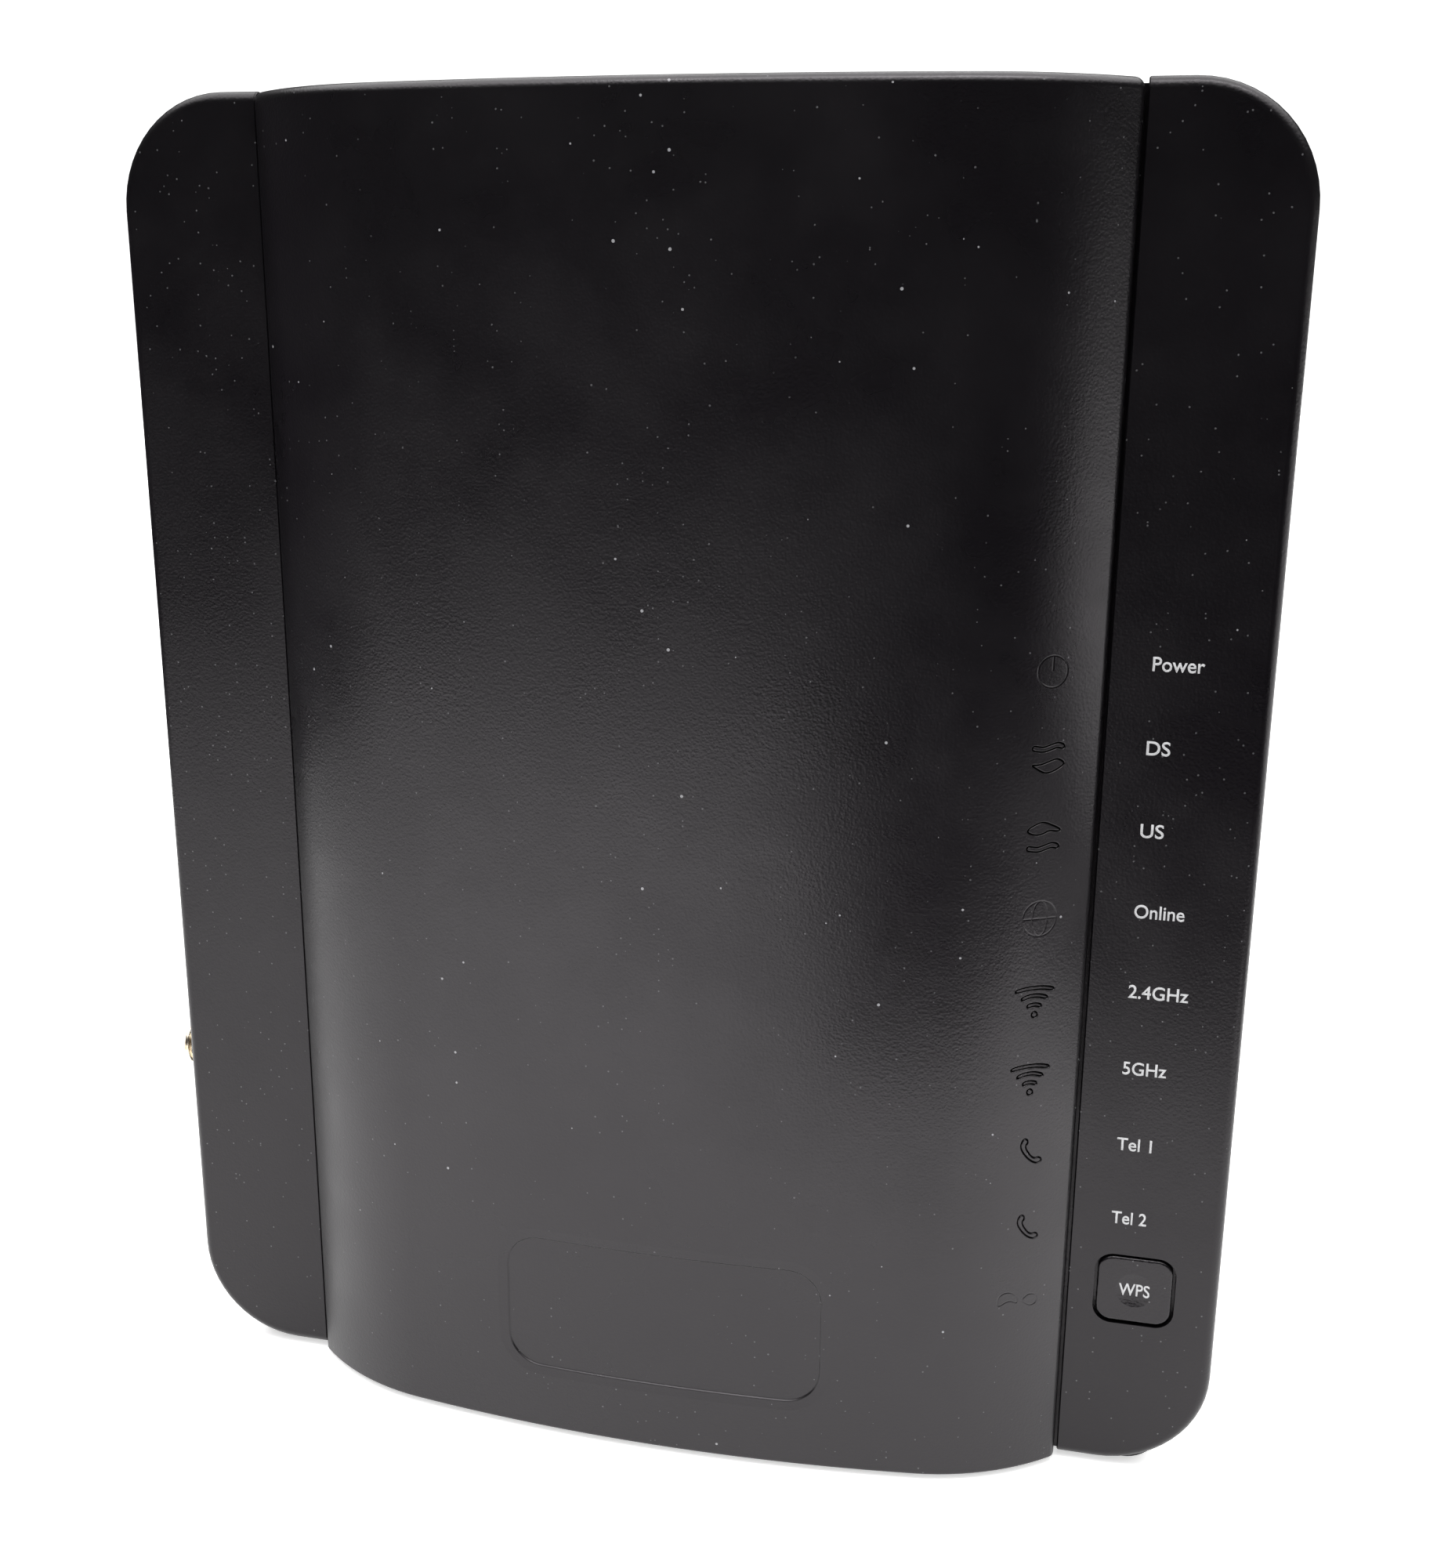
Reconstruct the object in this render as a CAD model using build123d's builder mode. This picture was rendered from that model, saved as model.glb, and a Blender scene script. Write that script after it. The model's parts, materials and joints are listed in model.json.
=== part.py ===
from build123d import *

import os

os.makedirs("parts", exist_ok=True)

# A cable modem that stands upright: a bulged centre panel between two flat wings, with a
# narrower housing behind that carries the circuit boards and a column of ports on its left
# side. Millimetres, +Z up, front towards -Y. The origin is on the table, below the centre of
# the bounding box. Casing coordinates, used below, are measured from the casing's centre
# plane (x), back from the front face of the wings (y) and up from the table (z).

# Overall size
WING_WIDTH = 206.0
TOP_Z = 249.0
DEPTH = 56.0
BULGE = 16.6  # how far the centre panel stands in front of the wings
PORT_REACH = 8.0  # how far the coaxial port reaches past the left wing
COVER_LIFT = 1.2  # lower edge of the wings and the panel above the table
CX = PORT_REACH / 2
WING_Y = BULGE - DEPTH / 2

# Wings and centre panel
CORNER_R = 20.0
WING_T = 3.0
EDGE_R = 1.8
SLOT_HALF = 75.8  # half the gap between the wings
SLOT_CHAMFER = 0.25
PANEL_HALF = 75.25
PANEL_TOP_Z = 248.7
PANEL_EDGE_Y = -1.4  # where the panel's front meets its side wall
SHOULDER_X = 50.0
SHOULDER_Y = -13.15
PANEL_WALL = 2.2
PANEL_SIDE_R = 2.0
LOW_EDGE_R = 0.6  # rounding of the panel's lower edge and of the wings' back edge

# Sunk plate low on the centre panel
SUNK_X = 1.3
SUNK_Z = 28.6
SUNK_WIDTH = 61.0
SUNK_HEIGHT = 27.5
SUNK_R = 6.5
SUNK_DEPTH = 0.4

# Housing behind the wings
HOUSING_HALF = 95.0
HOUSING_LOW_Z = 0.6
HOUSING_TOP_Z = 246.0
HOUSING_R = 7.0
WALL = 2.4
JOIN_Y = WING_T + WALL  # where the rear cover meets the bezel
BACK_Y = DEPTH - BULGE
BACK_EDGE_R = 3.0
FIT_GAP = 0.25
LIP_T = 1.6
LIP_Y = JOIN_Y + 2.0
BEZEL_WINDOWS = [(16, 84), (94, 160), (168, 236)]  # lower and upper edges
BEZEL_WINDOW_HALF = 54.0
STRIP_T = 1.6  # strip that closes the slot behind the panel's top edge
STRIP_OVERLAP = 4.0

# Screws: cover screws, main board screws and indicator board screws, as casing x and z
COVER_SCREWS = [(x, z) for x in (-84, 84) for z in (10, 237)]
BOARD_SCREWS = [(x, z) for x in (-58, 60) for z in (21, 86, 208)]
LED_SCREWS = [(77, 33), (77, 104), (77, 158)]
PILOT_R = 1.1
LED_PILOT_R = 0.8
LED_BOSS_R = 2.8
COVER_BOSS_R = 3.6
COVER_BOSS_Y = 26.0
POST_R = 3.5
SEAT_R = 4.0
SEAT_WALL = 1.6
SEAT_Y = BACK_Y - 8.0
SEAT_HOLE_R = 1.7
SCREW_GAP = 0.05

# Hooks that hold the centre panel to the bezel's backing plate
HOOK_ROWS = [20, 178, 232]
HOOK_X = 72.6
HOOK_W = 8.0
HOOK_T = 2.0
HOOK_CATCH = 0.9
HOOK_FRONT_Y = PANEL_EDGE_Y + 1.2
HOOK_END_Y = JOIN_Y + 1.8
HOOK_SLOT_W = 9.2
HOOK_SLOT_T = 2.6

# Rubber feet: their size, how far they are sunk, and their places as casing x and y
FOOT_SIZE = (20.0, 8.0)
FOOT_R = 2.0
FOOT_SINK = 0.7
FOOT_T = HOUSING_LOW_Z + FOOT_SINK
FRONT_FEET = [(-42, -5.7), (42, -5.7)]
BACK_FEET = [(-72, 31), (72, 31)]

# Vents: slots in the back, the top, the foot and the right side of the rear cover
VENT_W = 2.6
VENT_PITCH = 6.5
BACK_VENT = 34.0
BACK_VENT_COLUMNS = 3
BACK_VENT_SPREAD = 40.0
BACK_VENT_GRIDS = [(190, 13), (42, 6)]  # middle height and number of rows
EDGE_VENT_PITCH = 9.0
TOP_VENT = 22.0
TOP_VENT_COUNT = 16
TOP_VENT_Y = 22.0
LOW_VENT = 18.0
LOW_VENT_COUNT = 11
LOW_VENT_Y = 19.0
SIDE_VENT = 44.0
SIDE_VENT_SPREAD = 60.0
SIDE_VENT_GRID = (3, 3)
SIDE_VENT_Y = 22.0
SIDE_VENT_Z = 125.0

# Rating label and the recess that it is stuck in
LABEL_SIZE = (76.0, 44.0)
LABEL_R = 2.0
LABEL_MARGIN = 1.0
LABEL_Z = 92.0
LABEL_T = 0.2
LABEL_SINK = 0.5

# Indicators: one icon window and one light guide for each row, down the panel's right side
ROW_X = 67.0
ROW_PITCH = 14.85
ROW_TOP_Z = 156.1
ROW_COUNT = 9
ROWS = [ROW_TOP_Z - ROW_PITCH * row for row in range(ROW_COUNT)]
WINDOW_SKIN = 0.9
WINDOW_R = 4.2
GUIDE_R = 2.5
GUIDE_HOLE_R = 3.0
GUIDE_END_Y = -4.8
GUIDE_BAR_Y = JOIN_Y + 0.6
GUIDE_BAR = (4.0, 1.6)
LED_SIZE = (3.2, 2.8)
LED_H = 1.9

# Pairing button and the switch behind it
BUTTON_X = 87.95
BUTTON_Z = 38.18
BUTTON_W = 13.62
BUTTON_H = 13.22
BUTTON_R = 2.9
BUTTON_GAP = 0.55
BUTTON_T = 1.6
BUTTON_TRAVEL = 0.6
BUTTON_EDGE_R = 0.5
DISH_R = 14.65
DISH_DEPTH = 0.4
APERTURE_Y = BUTTON_T + BUTTON_TRAVEL + 0.2
STEM_R = 2.0
COLLAR = (0.6, 0.8)  # how far the stem's snap collar stands out, and its length
GUIDE_GAP = 0.3
SWITCH_TRAVEL = 0.25
PRESS_GAP = 0.05  # left between the stem and the switch at full travel
SWITCH_SIZE = 6.0
SWITCH_H = 3.5
PLUNGER_R = 1.75
PLUNGER_H = 1.0
WELL_DEPTH = 2.0
RESET_FACE_X = -90.6
RESET_DEPTH = 5.0
RESET_TIP = RESET_FACE_X - 1.2
PINHOLE_R = 1.1

# Boards
LED_BOARD_Y = 12.0
LED_BOARD_T = 1.2
LED_BACK_Y = LED_BOARD_Y + LED_BOARD_T
BOARD_Y = 21.5
BOARD_T = 1.6
BOARD_BACK_Y = BOARD_Y + BOARD_T
BOARD_LEFT = -92.0
BOARD_RIGHT = 66.0
BOARD_LOW = 15.0
BOARD_HIGH = 214.0

# Ports on the left side: the face that they share, and each port's height
PORT_FACE = -94.6
PORT_SIDE = -HOUSING_HALF
PORT_Y = 15.8
POWER_Z = 32.0
COAX_Z = 60.0
RESET_Z = 80.5
ETHERNET_LOW = 90.0
USB_Z = 166.6
PHONE_LOW = 178.0
JACK_GAP = 0.25

# Coaxial port: a 3/8-32 threaded barrel on a square block, its nut and its washer
THREAD_R = 4.76
COAX_TIP = -WING_WIDTH / 2 - PORT_REACH
COAX_BORE_R = 4.1
COAX_HOLE_R = 1.3
COAX_BLOCK = 6.0
COAX_BLOCK_X = PORT_SIDE + WALL + 0.2
COAX_BLOCK_LENGTH = 14.0
COAX_BORE_END = COAX_BLOCK_X + 10.0
WASHER_T = 0.6
WASHER_R = 7.4
NUT_T = 2.4
NUT_ACROSS = 12.7
RELIEF_R = 4.45
RELIEF_W = 0.5
RELIEF_X = PORT_SIDE - WASHER_T - NUT_T - 0.6

# Ethernet and telephone jacks: socket sizes are width, height and depth
ETHERNET_PITCH = 15.9
ETHERNET_COUNT = 4
ETHERNET_HIGH = ETHERNET_LOW + ETHERNET_PITCH * ETHERNET_COUNT + 0.6
ETHERNET_TOP_Y = BOARD_Y - 13.4
ETHERNET_SOCKET = (11.9, 6.9, 13.0)
ETHERNET_DEPTH = 21.2
SHIELD_T = 0.3
PHONE_PITCH = 13.5
PHONE_COUNT = 2
PHONE_HIGH = PHONE_LOW + PHONE_PITCH * PHONE_COUNT + 1.0
PHONE_TOP_Y = BOARD_Y - 12.0
PHONE_SOCKET = (9.8, 6.6, 12.0)
PHONE_DEPTH = 17.5
CONTACT_PITCH = 1.02
CONTACT_W = 0.4

# USB socket
USB_W = 13.1
USB_H = 5.7
USB_TOP_Y = BOARD_Y - 6.9
USB_DEPTH = 14.0
USB_SHELL_T = 0.3
USB_BASE_X = PORT_FACE + 10.5
TONGUE_T = 1.9
TONGUE_HALF = 5.6
TONGUE_Y = USB_TOP_Y + USB_SHELL_T + 0.6

# Power jack
POWER_W = 9.2
POWER_TOP_Y = BOARD_Y - 11.2
POWER_DEPTH = 13.5
POWER_AXIS_Y = 15.6
POWER_BORE_R = 3.15
POWER_BORE_DEPTH = 9.5
POWER_PIN_R = 1.0

# Window in the rear cover for each port: depth range, then height range
PORT_WINDOWS = [
    (ETHERNET_TOP_Y - SHIELD_T, BOARD_Y, ETHERNET_LOW - SHIELD_T, ETHERNET_HIGH + SHIELD_T),
    (PHONE_TOP_Y, BOARD_Y, PHONE_LOW, PHONE_HIGH),
    (USB_TOP_Y, USB_TOP_Y + USB_H, USB_Z - USB_W / 2, USB_Z + USB_W / 2),
    (POWER_TOP_Y, BOARD_Y, POWER_Z - POWER_W / 2, POWER_Z + POWER_W / 2),
]

# Main processor behind the board and its heatsink
CHIP_X = 2.0
CHIP_Z = 130.0
CHIP_W = 27.0
CHIP_T = 1.6
PAD_W = 24.0
PAD_T = 0.6
SINK_SIZE = (64.0, 58.0)
SINK_BASE = 2.0
SINK_Y = BOARD_BACK_Y + CHIP_T + PAD_T
SINK_END_Y = BACK_Y - WALL - 1.6
FIN_COUNT = 13
FIN_T = 1.4

# Parts on the front of the main board: places, then width, height and thickness
MEMORY_CHIPS = [(2, 120), (2, 138)]
MEMORY_SIZE = (9, 13.5, 1.2)
FLASH_PLACE = (24, 128)
FLASH_SIZE = (12, 18.4, 1.2)
TUNER_PLACE = (-50, 54)
TUNER_SIZE = (42, 34, 4.4)
WIRELESS_PLACES = [(36, 165), (36, 192)]
WIRELESS_SIZE = (36, 22, 3.2)
SHIELD_CAN_T = 0.3
MAGNETICS_PLACES = [(-60, 106), (-60, 138)]
MAGNETICS_SIZE = (11, 27, 5.6)
LINE_CHIPS = [(-44, 184), (-44, 200)]
LINE_CHIP_SIZE = (8, 8, 1.0)
INDUCTORS = [(-52, 28), (-38, 28), (-24, 28)]
INDUCTOR_SIZE = (10, 10, 4.2)
INDUCTOR_R = 1.5

# Capacitors: casing x and z, radius and height
CAPACITORS = [
    (-70, 32, 4.0, 11.5),
    (-8, 30, 4.0, 11.5),
    (2, 30, 4.0, 11.5),
    (-70, 168, 3.15, 9.0),
    (-60, 190, 3.15, 9.0),
    (-60, 176, 3.15, 9.0),
]
CRIMP_R = 0.45
CRIMP_HEIGHT = 1.8

# Ribbon cable between the boards, and its sockets
RIBBON_Z = 120.0
RIBBON_W = 12.0
RIBBON_T = 0.3
RIBBON_R = 4.0
RIBBON_LEAD = 7.0
SOCKET_H = 2.0
SOCKET_T = 4.0
SOCKET_HALF = RIBBON_W / 2 + 1.5
UPPER_X = 70.0
LOWER_X = 52.0
UPPER_Y = LED_BACK_Y + SOCKET_H / 2
LOWER_Y = BOARD_Y - SOCKET_H / 2

# Antenna boards: casing x and z, width and height; then the routes of their leads
ANTENNAS = [(-45, 237, 42, 7), (50, 237, 42, 7), (88, 185, 7, 42)]
ANTENNA_T = 0.8
ANTENNA_BACK_Y = BACK_Y - WALL
ANTENNA_Y = ANTENNA_BACK_Y - ANTENNA_T
LEAD_R = 0.6
LEAD_BEND_R = 8.0
LEAD_Y = ANTENNA_Y - LEAD_R
LEAD_ROUTES = [
    [(-45, 234), (-30, 222), (-12, 214), (10, 206)],
    [(50, 234), (46, 226), (38, 218), (30, 206)],
    [(86, 172), (74, 176), (56, 186), (40, 190)],
]

CASE = Plane(origin=(CX, WING_Y, 0))


def plan(z):
    """Level plane at height z: local x and y are casing x and y."""
    return Plane(origin=(CX, WING_Y, z))


def front(y):
    """Plane facing the front at depth y: local x and y are casing x and z."""
    return Plane(origin=(CX, WING_Y + y, 0), x_dir=(1, 0, 0), z_dir=(0, -1, 0))


def side(x):
    """Plane facing right at x: local x and y are casing y and z."""
    return Plane(origin=(CX + x, WING_Y, 0), x_dir=(0, 1, 0), z_dir=(1, 0, 0))


def at(x, y, z, turn=(0, 0, 0)):
    """Place in casing coordinates, with rotations about X, Y and Z in degrees."""
    return Locations(CASE.location * Location((x, y, z), turn))


def block(low, high, mode=Mode.ADD):
    """Box between two opposite corners in casing coordinates."""
    size = [abs(b - a) for a, b in zip(low, high)]
    middle = [(a + b) / 2 for a, b in zip(low, high)]
    with at(*middle):
        Box(*size, mode=mode)


def rod_y(x, z, y0, y1, radius, mode=Mode.ADD):
    """Cylinder along the depth, from y0 to y1."""
    with at(x, (y0 + y1) / 2, z, (90, 0, 0)):
        Cylinder(radius, abs(y1 - y0), mode=mode)


def rod_x(y, z, x0, x1, radius, mode=Mode.ADD):
    """Cylinder across the casing, from x0 to x1."""
    with at((x0 + x1) / 2, y, z, (0, 90, 0)):
        Cylinder(radius, abs(x1 - x0), mode=mode)


def wing_outline():
    """Front outline of both wings together."""
    with Locations((0, (TOP_Z + COVER_LIFT) / 2)):
        RectangleRounded(WING_WIDTH, TOP_Z - COVER_LIFT, CORNER_R)


def housing_outline(inset=0.0, mode=Mode.ADD):
    """Outline of the housing behind the wings, moved inwards by inset."""
    width = 2 * (HOUSING_HALF - inset)
    height = HOUSING_TOP_Z - HOUSING_LOW_Z - 2 * inset
    with Locations((0, (HOUSING_TOP_Z + HOUSING_LOW_Z) / 2)):
        RectangleRounded(width, height, HOUSING_R - inset, mode=mode)


def panel_section(inset=0.0):
    """Plan section of the centre panel: a crown arc, two shoulder arcs and straight sides.
    Its front and sides are moved inwards by inset; its back stays at the wings' back."""
    back_y = WING_T + inset
    with BuildLine() as outline:
        crown = ThreePointArc(
            (-SHOULDER_X, SHOULDER_Y), (0, -BULGE), (SHOULDER_X, SHOULDER_Y)
        )
        right = TangentArc(crown @ 1, (PANEL_HALF, PANEL_EDGE_Y), tangent=crown % 1)
        left = TangentArc(
            crown @ 0, (-PANEL_HALF, PANEL_EDGE_Y), tangent=(crown % 0) * -1
        )
        Polyline(right @ 1, (PANEL_HALF, back_y), (-PANEL_HALF, back_y), left @ 1)
    make_face(outline.line.edges())
    if inset > 0:
        offset(amount=-inset, kind=Kind.INTERSECTION)


def at_slot_edge(edge):
    """True for the wings' front edges that face the centre panel."""
    across = abs(edge.center().X - CX)
    return abs(across - SLOT_HALF) < 0.01 and abs(edge.center().Y - WING_Y) < 0.01


def foot_seat(x, y):
    """Cuts the shallow recess that a rubber foot is glued into."""
    block(
        (x - FOOT_SIZE[0] / 2, y - FOOT_SIZE[1] / 2, 0),
        (x + FOOT_SIZE[0] / 2, y + FOOT_SIZE[1] / 2, FOOT_T),
        Mode.SUBTRACT,
    )


# ---------------------------------------------------------------- casing

# Front bezel: two flat wings on a backing plate, which has three large windows, a locating
# lip, screw bosses, a guide for the button, a strip behind the panel's top edge, and a shelf
# that fills the panel's open foot
with BuildPart() as front_bezel:
    with BuildSketch(front(0)):
        wing_outline()
    extrude(amount=-WING_T)
    fillet(front_bezel.faces().sort_by(Axis.Y)[0].edges(), EDGE_R)
    fillet(front_bezel.faces().sort_by(Axis.Y)[-1].edges(), LOW_EDGE_R)
    block((-SLOT_HALF, -1, 0), (SLOT_HALF, WING_T, TOP_Z + 1), Mode.SUBTRACT)
    chamfer(front_bezel.edges().filter_by(at_slot_edge), SLOT_CHAMFER)
    with BuildSketch(front(WING_T)):
        housing_outline()
    extrude(amount=-WALL)
    with BuildSketch(front(JOIN_Y)):
        housing_outline(WALL + FIT_GAP)
        housing_outline(WALL + FIT_GAP + LIP_T, Mode.SUBTRACT)
    extrude(amount=-(LIP_Y - JOIN_Y))
    block(
        (-SLOT_HALF - 2, WING_T, HOUSING_TOP_Z - STRIP_OVERLAP),
        (SLOT_HALF + 2, WING_T + STRIP_T, PANEL_TOP_Z - LOW_EDGE_R),
    )
    for low, high in BEZEL_WINDOWS:
        block(
            (-BEZEL_WINDOW_HALF, WING_T - 1, low),
            (BEZEL_WINDOW_HALF, LIP_Y, high),
            Mode.SUBTRACT,
        )
    with BuildSketch(plan(HOUSING_LOW_Z)):
        panel_section(PANEL_WALL + 0.3)
    extrude(amount=WALL)
    for x, y in FRONT_FEET:
        foot_seat(x, y)
    with BuildSketch(front(0)):
        with Locations((BUTTON_X, BUTTON_Z)):
            RectangleRounded(
                BUTTON_W + 2 * BUTTON_GAP, BUTTON_H + 2 * BUTTON_GAP, BUTTON_R + BUTTON_GAP
            )
    extrude(amount=-APERTURE_Y, mode=Mode.SUBTRACT)
    rod_y(BUTTON_X, BUTTON_Z, 0, LIP_Y, STEM_R + GUIDE_GAP, Mode.SUBTRACT)
    for z in ROWS:
        rod_y(ROW_X, z, 0, LIP_Y, GUIDE_HOLE_R, Mode.SUBTRACT)
    for z in HOOK_ROWS:
        for sign in (-1, 1):
            block(
                (sign * (HOOK_X - HOOK_SLOT_T / 2), 0, z - HOOK_SLOT_W / 2),
                (sign * (HOOK_X + HOOK_SLOT_T / 2), LIP_Y, z + HOOK_SLOT_W / 2),
                Mode.SUBTRACT,
            )
    for x, z in LED_SCREWS:
        rod_y(x, z, WING_T, LED_BOARD_Y, LED_BOSS_R)
        rod_y(x, z, JOIN_Y, LED_BOARD_Y, LED_PILOT_R, Mode.SUBTRACT)
    for x, z in COVER_SCREWS:
        rod_y(x, z, WING_T, COVER_BOSS_Y, COVER_BOSS_R)
        rod_y(x, z, JOIN_Y, COVER_BOSS_Y, PILOT_R, Mode.SUBTRACT)
front_bezel.part.label = "front_bezel"
export_step(front_bezel.part, "parts/front_bezel.step")

# Centre panel: a bulged shell, open behind and at its foot, with a shallow sunk plate, thin
# windows for the indicators and six hooks that snap behind the bezel's backing plate
with BuildPart() as sunk_plate:
    with BuildSketch(front(-BULGE - 1)):
        with Locations((SUNK_X, SUNK_Z)):
            RectangleRounded(SUNK_WIDTH, SUNK_HEIGHT, SUNK_R)
    extrude(amount=-BULGE / 2)
    with BuildSketch(plan(0)):
        panel_section(SUNK_DEPTH)
    extrude(amount=TOP_Z, mode=Mode.SUBTRACT)

with BuildPart() as window_pockets:
    for z in ROWS:
        rod_y(ROW_X, z, -BULGE, 0, WINDOW_R)
    with BuildSketch(plan(0)):
        panel_section(WINDOW_SKIN)
    extrude(amount=TOP_Z, mode=Mode.INTERSECT)

with BuildPart() as centre_panel:
    with BuildSketch(plan(COVER_LIFT)):
        panel_section()
    extrude(amount=PANEL_TOP_Z - COVER_LIFT)
    uprights = centre_panel.edges().filter_by(Axis.Z).sort_by(Axis.Y)
    side_edges = uprights.group_by(Axis.Y)[1]
    fillet(side_edges, PANEL_SIDE_R)
    top_edges = centre_panel.faces().sort_by(Axis.Z)[-1].edges().sort_by(Axis.Y)[:-1]
    fillet(top_edges, EDGE_R)
    low_edges = centre_panel.faces().sort_by(Axis.Z)[0].edges().sort_by(Axis.Y)[:-1]
    fillet(low_edges, LOW_EDGE_R)
    with BuildSketch(plan(0)):
        panel_section(PANEL_WALL)
    extrude(amount=PANEL_TOP_Z - PANEL_WALL, mode=Mode.SUBTRACT)
    add(sunk_plate.part, mode=Mode.SUBTRACT)
    add(window_pockets.part, mode=Mode.SUBTRACT)
    for z in HOOK_ROWS:
        for sign in (-1, 1):
            inner = sign * (HOOK_X - HOOK_T / 2)
            outer = sign * (HOOK_X + HOOK_T / 2)
            tip = sign * (HOOK_X - HOOK_T / 2 - HOOK_CATCH)
            low = z - HOOK_W / 2
            high = z + HOOK_W / 2
            block((inner, HOOK_FRONT_Y, low), (outer, HOOK_END_Y, high))
            block((tip, JOIN_Y + 0.1, low), (outer, HOOK_END_Y, high))
centre_panel.part.label = "centre_panel"
export_step(centre_panel.part, "parts/centre_panel.step")

# Rear cover: a deep shell with vents, a window for each port, posts for the main board and
# sunk seats for the cover screws
with BuildPart() as rear_cover:
    with BuildSketch(front(JOIN_Y)):
        housing_outline()
    extrude(amount=-(BACK_Y - JOIN_Y))
    fillet(rear_cover.faces().sort_by(Axis.Y)[-1].edges(), BACK_EDGE_R)
    with BuildSketch(front(JOIN_Y)):
        housing_outline(WALL)
    extrude(amount=-(BACK_Y - WALL - JOIN_Y), mode=Mode.SUBTRACT)
    for x, z in BOARD_SCREWS:
        rod_y(x, z, BOARD_BACK_Y, BACK_Y - WALL, POST_R)
        rod_y(x, z, BOARD_BACK_Y, BACK_Y - WALL, PILOT_R, Mode.SUBTRACT)
    for x, z in COVER_SCREWS:
        rod_y(x, z, COVER_BOSS_Y + 0.2, BACK_Y - 0.5, SEAT_R + SEAT_WALL)
        rod_y(x, z, SEAT_Y, BACK_Y + 1, SEAT_R, Mode.SUBTRACT)
        rod_y(x, z, COVER_BOSS_Y, SEAT_Y, SEAT_HOLE_R, Mode.SUBTRACT)
    with BuildSketch(front(BACK_Y)):
        for middle, rows in BACK_VENT_GRIDS:
            with Locations((0, middle)):
                with GridLocations(BACK_VENT_SPREAD, VENT_PITCH, BACK_VENT_COLUMNS, rows):
                    SlotOverall(BACK_VENT, VENT_W)
    extrude(amount=WALL + 1, mode=Mode.SUBTRACT)
    with BuildSketch(plan(HOUSING_TOP_Z)):
        with Locations((0, TOP_VENT_Y)):
            with GridLocations(EDGE_VENT_PITCH, 1, TOP_VENT_COUNT, 1):
                SlotOverall(TOP_VENT, VENT_W, rotation=90)
    extrude(amount=-(WALL + 1), mode=Mode.SUBTRACT)
    with BuildSketch(plan(HOUSING_LOW_Z)):
        with Locations((0, LOW_VENT_Y)):
            with GridLocations(EDGE_VENT_PITCH, 1, LOW_VENT_COUNT, 1):
                SlotOverall(LOW_VENT, VENT_W, rotation=90)
    extrude(amount=WALL + 1, mode=Mode.SUBTRACT)
    with BuildSketch(side(HOUSING_HALF)):
        with Locations((SIDE_VENT_Y, SIDE_VENT_Z)):
            with GridLocations(VENT_PITCH, SIDE_VENT_SPREAD, *SIDE_VENT_GRID):
                SlotOverall(SIDE_VENT, VENT_W, rotation=90)
    extrude(amount=-(WALL + 1), mode=Mode.SUBTRACT)
    for y0, y1, z0, z1 in PORT_WINDOWS:
        block(
            (PORT_SIDE - 1, y0 - JACK_GAP, z0 - JACK_GAP),
            (PORT_SIDE + WALL, y1 + JACK_GAP, z1 + JACK_GAP),
            Mode.SUBTRACT,
        )
    rod_x(PORT_Y, COAX_Z, PORT_SIDE - 1, PORT_SIDE + WALL, THREAD_R + 0.3, Mode.SUBTRACT)
    rod_x(PORT_Y, RESET_Z, PORT_SIDE - 1, PORT_SIDE + WALL, PINHOLE_R, Mode.SUBTRACT)
    for x, y in BACK_FEET:
        foot_seat(x, y)
    with BuildSketch(front(BACK_Y)):
        with Locations((0, LABEL_Z)):
            RectangleRounded(*LABEL_SIZE, LABEL_R)
    extrude(amount=LABEL_SINK, mode=Mode.SUBTRACT)
rear_cover.part.label = "rear_cover"
export_step(rear_cover.part, "parts/rear_cover.step")

# Rubber feet: two under the bezel's shelf, two under the rear cover
with BuildPart() as rubber_feet:
    for x, y in FRONT_FEET + BACK_FEET:
        with at(x, y, FOOT_T / 2):
            Box(FOOT_SIZE[0] - 0.1, FOOT_SIZE[1] - 0.1, FOOT_T)
    fillet(rubber_feet.edges().filter_by(Axis.Z), FOOT_R)
rubber_feet.part.label = "rubber_feet"
export_step(rubber_feet.part, "parts/rubber_feet.step")

# Blank rating label, stuck in the back's shallow recess
with BuildPart() as rating_label:
    with BuildSketch(front(BACK_Y - LABEL_SINK)):
        with Locations((0, LABEL_Z)):
            RectangleRounded(
                LABEL_SIZE[0] - 2 * LABEL_MARGIN,
                LABEL_SIZE[1] - 2 * LABEL_MARGIN,
                LABEL_R - LABEL_MARGIN / 2,
            )
    extrude(amount=-LABEL_T)
rating_label.part.label = "rating_label"
export_step(rating_label.part, "parts/rating_label.step")

# ---------------------------------------------------------------- buttons

# Pairing button: a rounded square cap with a shallow dish, on a stem with a snap collar. The
# stem meets the switch just before the end of the button's travel
STEM_END = LED_BOARD_Y - SWITCH_H - PLUNGER_H - PRESS_GAP - BUTTON_TRAVEL + SWITCH_TRAVEL
with BuildPart() as pairing_button:
    with BuildSketch(front(0)):
        with Locations((BUTTON_X, BUTTON_Z)):
            RectangleRounded(BUTTON_W, BUTTON_H, BUTTON_R)
    extrude(amount=-BUTTON_T)
    fillet(pairing_button.faces().sort_by(Axis.Y)[0].edges(), BUTTON_EDGE_R)
    with at(BUTTON_X, DISH_DEPTH - DISH_R, BUTTON_Z):
        Sphere(DISH_R, mode=Mode.SUBTRACT)
    rod_y(BUTTON_X, BUTTON_Z, BUTTON_T, STEM_END, STEM_R)
    rod_y(BUTTON_X, BUTTON_Z, STEM_END - COLLAR[1], STEM_END, STEM_R + COLLAR[0])
pairing_button.part.label = "pairing_button"
export_step(pairing_button.part, "parts/pairing_button.step")

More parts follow.
